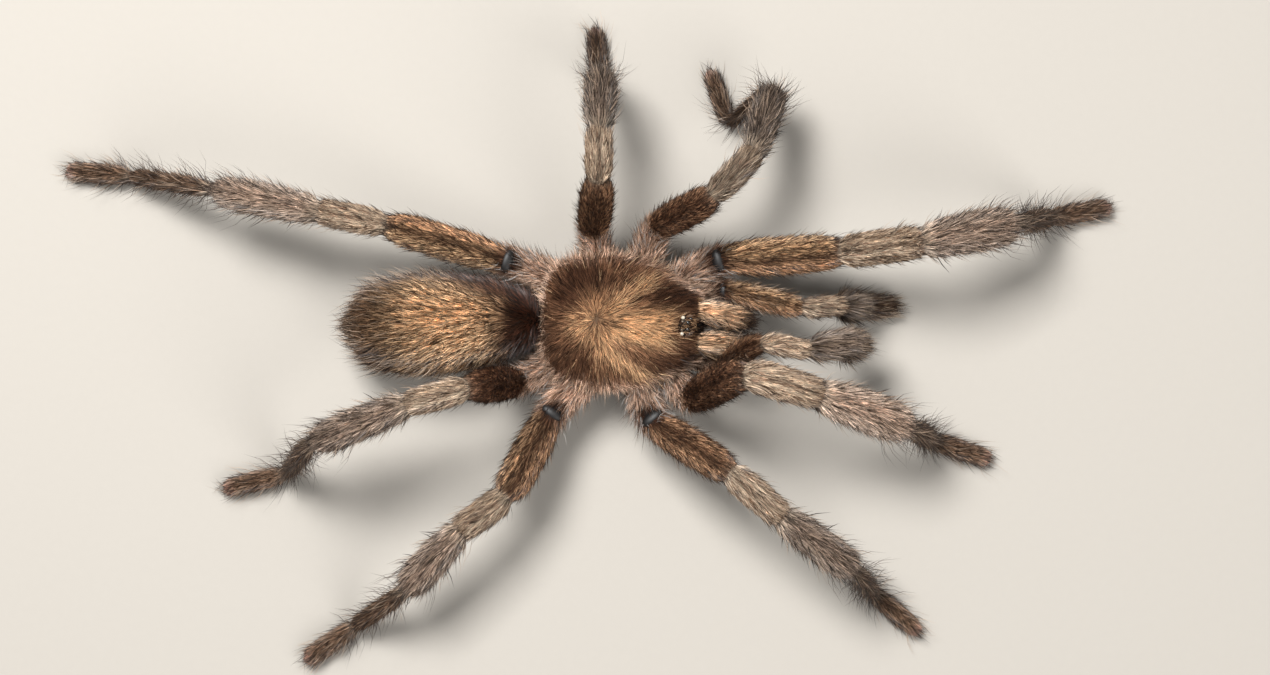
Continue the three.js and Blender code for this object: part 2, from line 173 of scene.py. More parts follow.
LENS_NODES = [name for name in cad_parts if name.startswith("eye_") and name != "eye_mound"]
eye_ahead, eye_aside = FRONT_EYE
OFFSET = node_ball("eye_left_anterior_median")[0] - fore(MOUND["ahead"] + eye_ahead, eye_aside, 0)
OFFSET[2] = 0
print("the body's own origin lies at", np.round(OFFSET, 3).tolist(), "mm in the frame")

# %% [markdown]
# ## Forms
# A form is a section carried along a path. It is kept as a table: at each place along it, the path's
# centre, its direction, the two directions across it, and how wide, high and deep the section is. One
# table serves for the skin's shape, for finding where on the body a point lies, and for the lie of
# the coat, so all three always agree.

# %% Forms
FORMS = []


def add_form(name, places, centre, tangent, right, wide, above, below, power=2.1, depth=0.3, **facts):
    """Keeps a form's table. across is right made square to the path, and up is across x tangent.
    depth is how far the skin lies inside the solid, so that the coat has room."""
    across = unit(right - tangent * (right * tangent).sum(1, keepdims=True))
    FORMS.append(dict(
        name=name, place=places, centre=centre, tangent=tangent, across=across,
        up=np.cross(across, tangent), wide=wide, above=above, below=below, power=power, depth=depth, **facts,
    ))


def straight(places, start, end, right):
    """A straight path as rows of centres, directions and right-hand directions."""
    rows = np.ones((len(places), 1))
    centre = start + places[:, None] * (end - start)
    return centre, rows * unit(end - start), rows * right


def limb_path(joints, yaws, bends, places):
    """Straight segments between joints, joined by quadratic Bezier bends that start `bend` from a joint."""
    steps = np.diff(joints, axis=0)
    lengths = np.linalg.norm(steps, axis=1)
    ways = steps / lengths[:, None]
    rights = np.array([heading(yaw - 90) for yaw in yaws])
    joint = np.clip(np.round(places).astype(int), 0, len(joints) - 1)
    segment = np.clip(np.where(places < joint, joint - 1, joint), 0, len(ways) - 1)
    step = (places - joint) * lengths[segment]
    centre, tangent, right = joints[joint] + ways[segment] * step[:, None], ways[segment], rights[segment]
    bend = np.array(bends)[joint]
    bent = (joint > 0) & (joint < len(joints) - 1) & (np.abs(step) < bend)
    j, b = joint[bent], bend[bent][:, None]
    t = 0.5 + step[bent][:, None] / (2 * b)
    start, end = joints[j] - ways[j - 1] * b, joints[j] + ways[j] * b
    centre[bent] = (1 - t) ** 2 * start + 2 * t * (1 - t) * joints[j] + t**2 * end
    tangent[bent] = unit((1 - t) * (joints[j] - start) + t * (end - joints[j]))
    right[bent] = rights[j - 1] * (1 - t) + rights[j] * t
    return centre, tangent, right


def eased(n):
    """Places from 0 to 1, closer together at both ends."""
    return (1 - np.cos(np.pi * np.arange(n + 1) / n)) / 2


# %% [markdown]
# ## Front body
# The shield over the front body is broad, low and slightly raised at the head. Under it lie the hips'
# soft flanks, which the solids leave out because they can't be seen, and the breastplate.

# %% Front body
places = eased(60)
half = SHIELD["length"] / 2
outline = through(
    [0, 0.62], [0.08, 0.8], [0.2, 0.94], [0.4, 1], [0.55, 0.985],
    [0.7, 0.88], [0.85, 0.72], [0.94, 0.62], [1, 0.58],
)
back = through(
    [0, 0.2], [0.12, 0.55], [0.3, 0.72], [0.42, 0.74], [0.6, 0.86], [0.8, 0.99], [0.92, 1], [1, 0.85],
)
fore_right = heading(SHIELD["turn"] - 90)
shield_ends = fore(-half, 0, SHIELD["rim"]), fore(half, 0, SHIELD["rim"])
add_form(
    "shield", places, *straight(places, *shield_ends, fore_right),
    wide=SHIELD["half_width"] * outline(places) * domed(places, 0.1, 0.045),
    above=(SHIELD["crown"] - SHIELD["rim"]) * back(places) * domed(places, 0.06, 0.05) + 0.05,
    below=0.3 + 0.1 * domed(places, 0.1, 0.1), depth=0.28,
)
add_form(
    "flanks", places, *straight(places, fore(-6.3, 0, 5.5), fore(7.4, 0, 5.5), fore_right),
    wide=(SHIELD["half_width"] - 0.9) * outline(places) * domed(places, 0.12, 0.06) + 0.1,
    above=1.25 * domed(places, 0.1, 0.1) + 0.1, below=1.1 * domed(places, 0.1, 0.1) + 0.1, depth=0.0,
)
breast = through([0, 0.35], [0.25, 0.8], [0.6, 1], [0.8, 0.85], [1, 0.5])
add_form(
    "sternum", places, *straight(places, fore(-5.4, 0, 4.4), fore(6.2, 0, 4.4), fore_right),
    wide=2.75 * breast(places) * domed(places, 0.12, 0.12) + 0.1,
    above=1.55 * domed(places, 0.1, 0.1) + 0.2, below=1.65 * domed(places, 0.15, 0.15) + 0.1,
    power=2.6, depth=0.28,
)
print([form["name"] for form in FORMS], "shield", SHIELD["length"], "x", 2 * SHIELD["half_width"], "mm")

# %% [markdown]
# ## Jaws
# The two jaws swell over their bases and droop ahead. They are made like short limbs with one bend, so
# the same path carries them. Each starts a little way back under the shield, so that no gap shows.

# %% Jaws
def jaw_spot(jaw, forward, inward, height):
    """A point of a jaw, measured from the middle of its base."""
    root = fore(SHIELD["length"] / 2 + 0.3, 1.5 * jaw["to_left"], 0) * [1, 1, 0]
    inwards = heading(jaw["turn"] - 90) * jaw["to_left"]
    return root + heading(jaw["turn"]) * forward + inwards * inward + np.array([0, 0, height])


girth = through([0, 0.9], [0.3, 1], [0.6, 0.93], [0.85, 0.72], [1, 0.5])
for jaw in JAWS:
    stops = [(-1.4, 0, 7.3), (2.8, 0, 7.1 - jaw["droop"] / 2), (4.9, 0.1, 4.7 - jaw["droop"])]
    joints = np.array([jaw_spot(jaw, *stop) for stop in stops])
    along = eased(40) * 2
    size = girth(along / 2) * domed(along / 2, 0.12, 0.2)
    add_form(
        f"jaw_{jaw['side']}", along, *limb_path(joints, [jaw["turn"]] * 2, [0, 2.2, 0], along),
        wide=1.33 * size + 0.06, above=1.95 * size + 0.06, below=1.7 * size + 0.06, power=2.2, depth=0.28,
        side=jaw["side"],
    )
print("jaws", [form["name"] for form in FORMS if "jaw" in form["name"]])

# %% [markdown]
# ## Hind body
# The abdomen is a soft egg on a narrow waist, with two spinnerets at its tail.

# %% Hind body
length, middle = ABDOMEN["length"], (ABDOMEN["top"] + ABDOMEN["bottom"]) / 2
half_height = (ABDOMEN["top"] - ABDOMEN["bottom"]) / 2
egg = through(
    [0, 0.4], [0.08, 0.58], [0.22, 0.8], [0.4, 0.94], [0.55, 1],
    [0.7, 0.98], [0.85, 0.86], [0.95, 0.66], [1, 0.52],
)
rear_right = heading(90 + ABDOMEN["turn"])
across = egg(places) * domed(places, 0.06, 0.12)
add_form(
    "abdomen", places, *straight(places, rear(0, 0, middle), rear(length, 0, middle - 0.6), rear_right),
    wide=ABDOMEN["half_width"] * across + 0.1, above=half_height * across + 0.1,
    below=half_height * egg(places) * domed(places, 0.06, 0.2) + 0.1, depth=0.5,
)
waist = 0.65 * domed(places, 0.2, 0.2) + 0.15
add_form(
    "pedicel", places, *straight(places, fore(-6.6, 0, 5.0), rear(0.9, 0, 5.9), -fore_right),
    wide=1.3 * waist, above=0.9 * waist, below=waist, depth=0.0,
)
for side, to_left in (("left", 1), ("right", -1)):
    start, end = rear(length - 2.4, 0.8 * to_left, 1.75), rear(length + 0.1, 1.2 * to_left, 1.6)
    radius = (0.62 - 0.22 * places) * domed(places, 0.15, 0.2) + 0.08
    line = straight(places, start, end, rear_right)
    add_form(f"spinneret_{side}", places, *line, radius, radius, radius, depth=0.12)
print("abdomen", length, "x", 2 * ABDOMEN["half_width"], "x", 2 * half_height, "mm")

# %% [markdown]
# ## Limbs
# A leg is one form from its root under the body to its foot: coxa with trochanter, femur, patella,
# tibia, metatarsus and tarsus, each fullest inside itself and waisted at the joints. Place 1.5 is the
# middle of the femur, place 2 the knee, and so on, which makes markings easy to place.

# %% Limbs
def limb_girth(girths):
    """Half widths along a limb: fullest inside each segment and waisted at the joints."""
    points = [[0, girths[0] * 0.6]]
    for i, size in enumerate(girths):
        after = girths[i + 1] if i + 1 < len(girths) else size
        points += [[i + 0.35, size], [i + 0.78, size * 0.98]]
        points += [[i + 1, 0.88 * min(size, after) + 0.04 * max(size, after)]]
    return through(*points)


# How deep the skin lies inside the limbs' solids, how much deeper on the last two segments, where the
# hair is longer, and how much less on the sole, where it is short.
LIMB_DEPTH, OUTER_DEPTH, SOLE_DEPTH = 0.3, 0.1, 0.14


def add_limb(name, joints, yaws, bends, girths, **facts):
    """Adds a limb's form: round, a little higher than wide, and domed at its foot.
    Its root starts inside the flanks, so that it joins them."""
    last = len(joints) - 1
    root_yaw = np.degrees(np.arctan2(*(joints[1] - joints[0])[[1, 0]]))
    along = np.linspace(0, last, 60 * last + 1)
    lengths = np.linalg.norm(np.diff(joints, axis=0), axis=1)
    tip = 0.35 + 0.65 * np.where(along > last - 1, domed(1 - (last - along) / 2, 1e-3, 0.09), 1)
    radius = limb_girth(girths)(along) * tip
    outer, sole = np.clip(along - last + 2, 0, 1), np.clip((along - last + 1.15) / 0.3, 0, 1)
    add_form(
        name, along, *limb_path(joints, [root_yaw, *yaws], bends, along), wide=radius, above=radius * 1.04,
        below=radius, depth=LIMB_DEPTH + OUTER_DEPTH * outer - SOLE_DEPTH * sole, limb=True, last=last,
        lengths=lengths, **facts,
    )


# How far from each joint its bend starts.
LEG_BENDS, PALP_BENDS = [0, 2.4, 2.9, 1.6, 2.0, 1.6, 0], [0, 1.6, 1.9, 1.5, 1.7, 0]
for leg in LEGS:
    pair, size = LEG_PAIRS[leg["pair"] - 1], leg.get("size", 1)
    lengths = [length * size for length in pair["lengths"]]
    ahead, aside = pair["root"]
    joints = [fore(ahead, aside if leg["side"] == "left" else -aside, ROOT_HEIGHT)]
    joints.append(np.array([*leg["hip"], HIP_HEIGHT]))
    for yaw, pitch, length in zip(leg["yaw"], leg["pitch"], lengths):
        joints.append(joints[-1] + heading(yaw, pitch) * length)
    heel, toe = HEEL * size, TOE * size
    drop = np.degrees(np.arcsin((joints[-1][2] - heel) / lengths[3]))
    slope = drop - 180 if leg.get("tucked") else -drop
    joints.append(joints[-1] + heading(leg["yaw"][3], slope) * lengths[3])
    dip = np.degrees(np.arcsin((heel - toe) / lengths[4]))
    joints.append(joints[-1] + heading(leg["yaw"][4], -dip) * lengths[4])
    add_limb(
        f"leg_{leg['side']}_{leg['pair']}", np.array(joints), leg["yaw"], LEG_BENDS,
        [girth * size for girth in pair["girths"]], side=leg["side"], pair=leg["pair"],
    )
for palp in PALPS:
    ahead, aside = PALP["root"]
    joints = [fore(ahead, aside if palp["side"] == "left" else -aside, ROOT_HEIGHT - 0.5)]
    joints.append(np.array([*palp["hip"], HIP_HEIGHT - 0.4]))
    for yaw, pitch, length in zip(palp["yaw"], palp["pitch"], PALP["lengths"]):
        joints.append(joints[-1] + heading(yaw, pitch) * length)
    add_limb(
        f"palp_{palp['side']}", np.array(joints), palp["yaw"], PALP_BENDS, PALP["girths"],
        side=palp["side"], pair=0,
    )
feet = [form["centre"][-1] for form in FORMS if form.get("limb") and form["pair"]]
print(len(FORMS), "forms; the first foot ends at", np.round(feet[0], 1).tolist())

# %% [markdown]
# ## Making meshes from arrays
# Each piece is worked out as whole arrays of points and then put into a Blender mesh in one go. A form
# becomes a closed shell: rings of points joined by four-sided faces, with a fan over each end.

# %% Meshes from arrays
def to_frame(points):
    """Millimetres on the body's own origin to metres in the frame."""
    return (points + OFFSET) * MM


def make_mesh(name, points, *faces):
    """A mesh from an array of points and arrays of faces with three or four corners each."""
    mesh = bpy.data.meshes.new(name)
    sizes = np.concatenate([np.full(len(part), part.shape[1]) for part in faces])
    mesh.vertices.add(len(points))
    mesh.vertices.foreach_set("co", np.ascontiguousarray(points, np.float32).ravel())
    mesh.loops.add(int(sizes.sum()))
    mesh.loops.foreach_set("vertex_index", np.concatenate([part.ravel() for part in faces]).astype(np.int32))
    mesh.polygons.add(len(sizes))
    mesh.polygons.foreach_set("loop_start", np.r_[0, np.cumsum(sizes)[:-1]].astype(np.int32))
    mesh.update(calc_edges=True)
    return mesh


def tube_faces(rings, sides):
    """Faces of a closed tube whose last two points are the middles of its first and last ring."""
    row, column = np.meshgrid(np.arange(rings - 1), np.arange(sides), indexing="ij")
    after = (column + 1) % sides
    walls = np.stack([row * sides + column, row * sides + after, (row + 1) * sides + after,
                      (row + 1) * sides + column], axis=-1).reshape(-1, 4)
    near, around = np.arange(sides), (np.arange(sides) + 1) % sides
    start, end = np.full(sides, rings * sides), np.full(sides, rings * sides + 1)
    far = (rings - 1) * sides
    return walls, np.stack([start, around, near], 1), np.stack([end, near + far, around + far], 1)


THINNEST = 0.12


def shell(form, sides=36):
    """The form's skin as a closed tube, inside the solid by the coat's depth.
    A ring runs across by sin(turn) and up by cos(turn), each raised to 2 / power with its sign kept."""
    rows = np.flatnonzero(np.minimum(form["wide"], form["above"]) - form["depth"] > THINNEST)
    turn = 2 * np.pi * np.arange(sides) / sides
    x, z = (np.sign(v) * np.abs(v) ** (2 / form["power"]) for v in (np.sin(turn), np.cos(turn)))
    less = np.broadcast_to(form["depth"], form["place"].shape)[rows]
    sizes = (np.maximum(form[key][rows] - less, 0.1)[:, None] for key in ("wide", "above", "below"))
    wide, above, below = sizes
    centre, across, up = (form[key][rows][:, None] for key in ("centre", "across", "up"))
    rings = centre + across * (x * wide)[..., None] + up * (z * np.where(z > 0, above, below))[..., None]
    ends = form["centre"][rows[[0, -1]]]
    return np.concatenate([rings.reshape(-1, 3), ends]), tube_faces(len(rows), sides)


# %% [markdown]
# ## One skin
# The animal's skin is one surface that runs on from the body into every limb. It could be sewn from
# patches, but it is simpler to let all the shells overlap and to wrap them in a fine voxel net. A few
# rounds of smoothing, each with a push back so that nothing shrinks, take away the net's steps.

# %% One skin
points, walls, fans, count = [], [], [], 0
for form in FORMS:
    corners, (wall, start, end) = shell(form)
    points.append(corners)
    walls.append(wall + count)
    fans += [start + count, end + count]
    count += len(corners)
NET_SIZE, ROUNDS, SMOOTH, PUSH_BACK = 0.26, 3, 0.5, 0.53
rough_mesh = make_mesh("rough_skin", np.concatenate(points), np.concatenate(walls), np.concatenate(fans))
rough = bpy.data.objects.new("rough_skin", rough_mesh)
bpy.context.collection.objects.link(rough)
net = rough.modifiers.new("net", "REMESH")
net.mode, net.voxel_size = "VOXEL", NET_SIZE
wrapped = bpy.data.meshes.new_from_object(rough.evaluated_get(bpy.context.evaluated_depsgraph_get()))
skin_points = np.empty(len(wrapped.vertices) * 3, np.float32)
wrapped.vertices.foreach_get("co", skin_points)
skin_points = skin_points.reshape(-1, 3).astype(float)
skin_faces = np.empty(len(wrapped.loops), np.int32)
wrapped.loops.foreach_get("vertex_index", skin_faces)
skin_faces = skin_faces.reshape(-1, 4)
bpy.data.objects.remove(rough)
bpy.data.meshes.remove(wrapped)
borders = np.concatenate([skin_faces[:, [i, (i + 1) % 4]] for i in range(4)])
EDGES = np.unique(np.sort(borders, axis=1), axis=0)
NEIGHBOURS = np.bincount(EDGES.ravel(), minlength=len(skin_points))


def neighbour_mean(values):
    """For each point of the skin, the mean of its neighbours' values."""
    columns = values.reshape(len(values), -1)
    sums = [
        np.bincount(EDGES[:, 0], column[EDGES[:, 1]], len(values))
        + np.bincount(EDGES[:, 1], column[EDGES[:, 0]], len(values))
        for column in columns.T
    ]
    return (np.stack(sums, 1) / NEIGHBOURS[:, None]).reshape(values.shape)


def blur(values, times):
    """Values spread over the skin: each round takes half of the neighbours' mean."""
    for _ in range(times):
        values = 0.5 * (values + neighbour_mean(values))
    return values


for _ in range(ROUNDS):
    skin_points += SMOOTH * (neighbour_mean(skin_points) - skin_points)
    skin_points -= PUSH_BACK * (neighbour_mean(skin_points) - skin_points)
skin_points[:, 2] = np.maximum(skin_points[:, 2], 0.0)


def point_normals(points):
    """Outward normals: each face's diagonals crossed, summed at its corners."""
    corners = points[skin_faces]
    face = np.cross(corners[:, 2] - corners[:, 0], corners[:, 3] - corners[:, 1])
    sums = [np.bincount(skin_faces.ravel(), np.repeat(face[:, axis], 4), len(points)) for axis in range(3)]
    return unit(np.stack(sums, 1))


normals = point_normals(skin_points)
print("skin", len(skin_points), "points", 2 * len(skin_faces), "triangles")

# %% [markdown]
# ## Where on the body
# Markings and the lie of the coat depend on where a point sits: on which form, how far along it and
# how far round. Each form's table answers that. The nearest row gives the place, and how far the point
# is out of that row's section, measured in the section's own size, tells which form it belongs to.

# %% Where on the body
def locate(points):
    """For each point: the number of its form, the place along it and the turn round it in radians."""
    closest = np.full(len(points), np.inf)
    which, place, turn = np.zeros(len(points), int), np.zeros(len(points)), np.zeros(len(points))
    for number, form in enumerate(FORMS):
        reach = max(form["wide"].max(), form["above"].max(), form["below"].max()) * 1.4
        low, high = form["centre"].min(0) - reach, form["centre"].max(0) + reach
        near = np.flatnonzero(((points > low) & (points < high)).all(1))
        for part in np.array_split(near, len(near) // 20000 + 1):
            gaps = (form["centre"] ** 2).sum(1) - 2 * points[part] @ form["centre"].T
            row = gaps.argmin(1)
            away = points[part] - form["centre"][row]
            onward, x, z = ((away * form[key][row]).sum(1) for key in ("tangent", "across", "up"))
            high_part = np.maximum(np.where(z > 0, form["above"][row], form["below"][row]), 0.05)
            ends = (row == 0) | (row == len(form["place"]) - 1)
            wide_part = np.maximum(form["wide"][row], 0.05)
            out = np.sqrt((x / wide_part) ** 2 + (z / high_part) ** 2 + np.where(ends, onward, 0) ** 2)
            won = out < closest[part]
            closest[part[won]] = out[won]
            which[part[won]] = number
            run = np.linalg.norm(np.diff(form["centre"], axis=0), axis=1)
            pace = np.diff(form["place"]) / run
            place[part[won]] = (form["place"][row] + onward * pace[np.minimum(row, len(pace) - 1)])[won]
            turn[part[won]] = np.arctan2(x / wide_part, z / high_part)[won]
    return which, place, turn


which, place, turn = locate(skin_points)
FORM_NAMES = np.array([form["name"] for form in FORMS])
print("points by form", dict(zip(FORM_NAMES.tolist(), np.bincount(which, minlength=len(FORMS)).tolist())))

# %% [markdown]
# ## Folds of the skin
# Under the coat, the shield has a small pit a little behind its middle, the fovea, where muscles hold,
# and shallow grooves that run out from it. Each limb is pinched a little at its joints. These are small
# moves of the skin along its own normals.

# %% Folds of the skin
FOVEA = (-2.4, 0.1)
head_line = np.stack([heading(SHIELD["turn"])[:2], heading(SHIELD["turn"] + 90)[:2]])


def from_fovea(points):
    """How far points lie ahead of the fovea, and how far to its left, on the shield's own line."""
    return ((points[:, :2] @ head_line.T) - FOVEA).T


ahead, left = from_fovea(skin_points)
fovea_distance, fovea_angle = np.hypot(ahead, left), np.arctan2(left, ahead)
kind = np.array([name.split("_")[0] for name in FORM_NAMES])[which]
on_top = (kind == "shield") & (normals[:, 2] > 0.2)
grooves = np.cos(4 * np.abs(fovea_angle) - 0.6) ** 6 * np.exp(-((fovea_distance - 3.4) / 2.2) ** 2)
move = np.where(on_top, -0.32 * np.exp(-(fovea_distance / 0.6) ** 2) - 0.14 * grooves, 0)
limbs = np.isin(kind, ["leg", "palp"])
joint_gap = np.abs(place - np.round(place))
move -= np.where(limbs & (np.round(place) >= 2), 0.22 * np.exp(-(joint_gap / 0.03) ** 2), 0)
skin_points = skin_points + normals * blur(move, 1)[:, None]
skin_points[:, 2] = np.maximum(skin_points[:, 2], 0.0)
normals = point_normals(skin_points)
print("deepest fold", round(float(-move.min()), 2), "mm")

# %% [markdown]
# ## Colours
# Every colour is an sRGB hex value that one function turns into the linear light that Blender mixes.
# A coat isn't one colour: each place has a main tone, a second tone, and the share of hairs that take
# the second. Skin and coat both read these three, so the markings run through both.

# %% Colours
def srgb(code):
    """A hex colour as linear red, green and blue."""
    value = np.array([int(code[i:i + 2], 16) for i in (1, 3, 5)]) / 255
    return np.where(value <= 0.04045, value / 12.92, ((value + 0.055) / 1.055) ** 2.4)


PINK_TAN, TAN_SHADE = srgb("#d3b199"), srgb("#80624d")
GOLD, GOLD_SHADE, ORANGE_GOLD = srgb("#dab58c"), srgb("#74543d"), srgb("#e0ac82")
STRIPE, DARK_BROWN, NEAR_BLACK = srgb("#57392a"), srgb("#9d7458"), srgb("#3a2519")
SILKY, SILKY_SHADE = srgb("#c0a88f"), srgb("#654c38")
CREAM, SHIN, SHIN_SHADE = srgb("#efdcc2"), srgb("#b7a291"), srgb("#54402f")
FOOT, FOOT_SHADE, TOE_PINK = srgb("#7f6551"), srgb("#463224"), srgb("#b08b7b")
UNDER, UNDER_SHADE = srgb("#69523f"), srgb("#3b2c22")
print("main gold in linear light", np.round(GOLD, 3).tolist())

# %% [markdown]
# ## Fields over the skin
# A field is a number or a vector at each point of the skin. The coat needs seven: the two tones and
# their share, the way the hairs lie, their length, how many degrees they lift, and how close they
# stand. Smooth steps between regions are written once and used for all of them.

# %% Fields over the skin
total = len(skin_points)
# At first each field is the same all over. Lengths are in millimetres and lifts in degrees.
FIELD = dict(
    tone=np.tile(PINK_TAN, (total, 1)), other=np.tile(TAN_SHADE, (total, 1)), share=np.full(total, 0.35),
    lie=np.zeros((total, 3)), length=np.full(total, 1.2), lift=np.full(total, 14.0), close=np.ones(total),
)
blotch = blur(random.normal(size=total), 12)
blotch = np.clip(blotch / blotch.std(), -2.5, 2.5)


def step(value, start, soft):
    """0 before start and 1 after it, with a smooth rise that is `soft` long."""
    t = np.clip((value - start) / soft + 0.5, 0, 1)
    return t * t * (3 - 2 * t)


def window(value, start, end, soft):
    """1 between start and end and 0 outside, with soft edges."""
    return step(value, start, soft) * (1 - step(value, end, soft))


def paint(name, value, amount):
    """Moves a field towards a value by the amount, from 0 to 1, at each point."""
    amount = amount[:, None] if FIELD[name].ndim == 2 else amount
    FIELD[name] = FIELD[name] * (1 - amount) + np.asarray(value) * amount


def tones(amount, tone, other, share):
    """Paints the two tones and their share together."""
    paint("tone", tone, amount)
    paint("other", other, amount)
    paint("share", share, amount)


def paint_light_and_shade(amount, shade):
    """Paints light and shade into both tones: brighter or darker by the factor shade where the amount is 1.
    """
    for name in ("tone", "other"):
        FIELD[name] *= 1 + (shade - 1) * amount[:, None]


for number, form in enumerate(FORMS):
    mine = which == number
    rows = np.clip(np.searchsorted(form["place"], place[mine]), 0, len(form["place"]) - 1)
    FIELD["lie"][mine] = form["tangent"][rows]

# %% [markdown]
# ## Markings of the limbs
# The femora are golden with a dark stripe along the top, the knees carry two cream stripes on tan, and
# shins and feet are grey-brown and darken outwards to pinkish toes. Painted shade darkens the femora by
# different amounts from leg to leg, most on the steep ones. Two functions paint the inner and the outer
# half of a limb, each point by its place along the limb and the turn round it.

# %% Markings of the limbs
# Painted light and shade for each limb: how far painted shade darkens the femur, from 0 to 1, then how
# bright painted light and shade make hip, knee, shin and foot beside the usual tones.
LIMB_LIGHT_AND_SHADE = {
    "leg_left_1": (0.1, 1.0, 0.8, 1.15, 0.86), "leg_left_2": (0.85, 1.0, 0.53, 0.41, 0.66),
    "leg_left_3": (0.72, 1.18, 0.76, 0.43, 0.46), "leg_left_4": (0.1, 1.0, 0.86, 1.1, 0.97),
    "leg_right_1": (0.9, 1.0, 0.95, 1.42, 1.05), "leg_right_2": (0.6, 0.88, 0.77, 0.72, 0.9),
    "leg_right_3": (0.4, 1.3, 0.7, 0.95, 1.03), "leg_right_4": (1.0, 1.0, 0.84, 0.93, 1.15),
    "palp_left": (0.2, 1.0, 0.85, 0.43, 0.76), "palp_right": (0.8, 1.0, 1.08, 0.7, 0.85),
}


def ridge(value, middle, half_width, power=2):
    """A soft line: exp(-(|value - middle| / half_width) ** power)."""
    return np.exp(-(np.abs(value - middle) / half_width) ** power)


def limb_parts(mine):
    """How far each point of a limb belongs to its hip, femur, knee, shin with foot, and foot."""
    return (
        mine * (1 - step(place, 1.05, 0.1)), mine * window(place, 1.05, 1.985, 0.08),
        mine * window(place, 1.985, 2.99, 0.06), mine * step(place, 2.99, 0.03),
        mine * step(place, 3.99, 0.12),
    )


def mark_upper_limb(femur, knee, front, top, dark, stripe_at):
    """Femur and knee. front runs from -1 at the back to 1 ahead, and top from -1 below to 1 above."""
    # dark is painted shade: it dims the gold and turns the femur dark brown, most on the steep legs.
    tones(femur, GOLD * (1 - 0.35 * dark), GOLD_SHADE, 0.4)
    glow = window(front, 0.45, 1.1, 0.4) * step(top, 0.0, 0.5) * (1 - dark)
    tones(femur * glow, ORANGE_GOLD, GOLD_SHADE, 0.3)
    tones(femur * dark, DARK_BROWN, STRIPE, 0.5)
    stripe = ridge(front, stripe_at, 0.16 + 0.3 * dark) * step(top, 0, 0.6) * window(place, 1.1, 1.97, 0.12)
    tones(femur * stripe * (1 - 0.55 * dark), STRIPE, NEAR_BLACK, 0.5)
    tones(femur * step(-top, 0.1, 0.7), UNDER, UNDER_SHADE, 0.5)
    tones(knee, SILKY, SILKY_SHADE * 1.35, 0.33)
    two_lines = ridge(np.abs(front - 0.05), 0.31, 0.13, 4) * step(top, 0.1, 0.4)
    tones(knee * two_lines * window(place, 1.99, 2.82, 0.2), CREAM * 1.1, PINK_TAN, 0.25)
    between = ridge(front, 0.05, 0.12, 4) * step(top, 0.2, 0.5) * window(place, 2.02, 2.75, 0.25)
    tones(knee * between, TAN_SHADE * 0.7, SILKY_SHADE, 0.5)


def mark_lower_limb(mine, shin, foot, front, top, palp):
    """Shin and foot, with two fine lines on the shin, and the dark underside of the whole limb."""
    tones(shin, SHIN, SHIN_SHADE, 0.3)
    fine_lines = ridge(np.abs(front - 0.05), 0.28, 0.08) * step(top, 0.2, 0.5) * window(place, 3.0, 3.8, 0.5)
    tones(shin * fine_lines * 0.7, PINK_TAN * 1.15, SHIN, 0.2)
    tones(foot, FOOT, FOOT_SHADE, 0.4)
    if not palp:
        tones(mine * step(place, 5.0, 0.3), FOOT * 1.15, FOOT_SHADE, 0.3)
        tones(mine * step(place, 5.86, 0.18), TOE_PINK, SHIN, 0.2)
    tones(mine * step(place, 1.9, 0.1) * step(-top, 0.2, 0.7), UNDER, UNDER_SHADE, 0.4)
    tones(mine * (1 - step(place, 1.05, 0.2)) * step(-top, 0.0, 0.9) * 0.75, UNDER * 1.3, UNDER_SHADE, 0.4)


print("shades are set for", len(LIMB_LIGHT_AND_SHADE), "limbs")

# %% [markdown]
# ## Painting the ten limbs
# The same functions paint every limb, and then painted light and shade make each part of it brighter or
# darker.
# Last come the joints: a dark line just before each and a cream one after it.

# %% Painting the ten limbs
for number, form in enumerate(FORMS):
    if form.get("limb"):
        mine, palp = (which == number).astype(float), form["pair"] == 0
        front = np.sin(turn) * (1 if form["side"] == "left" else -1)
        top = np.cos(turn)
        dark, *shades = LIMB_LIGHT_AND_SHADE[form["name"]]
        hip, femur, knee, shin, foot = limb_parts(mine)
        mark_upper_limb(femur, knee, front, top, dark, 0.28 if form["pair"] == 1 else 0.05)
        mark_lower_limb(mine, shin, foot, front, top, palp)
        # Painted light and shade on each limb's hip, knee, shin and foot.
        outer = window(place, 1.99, 2.95, 0.1), window(place, 2.95, 3.97, 0.1), step(place, 3.97, 0.1)
        for shade, segment in zip(shades, (hip, *outer)):
            paint_light_and_shade(mine * segment, shade)
        for joint in range(2, 3 if palp else form["last"]):
            on_joint = mine * step(top, -0.2, 0.6)
            tones(0.85 * on_joint * ridge(place, joint - 0.012, 0.012), STRIPE, STRIPE, 0.5)
            tones(0.6 * on_joint * ridge(place, joint + 0.018, 0.012), CREAM, CREAM, 0.2)
print("limb markings on", int(limbs.sum()), "points")

# %% [markdown]
# ## Length and lift on the limbs
# On the legs, hairs are longest and lift most at the hips and are shortest on the toes. They get short
# towards each joint, so that the joint shows. The palps' outer segments have the longest coat, which
# lifts more where it faces ahead, so that they look furry from above too.

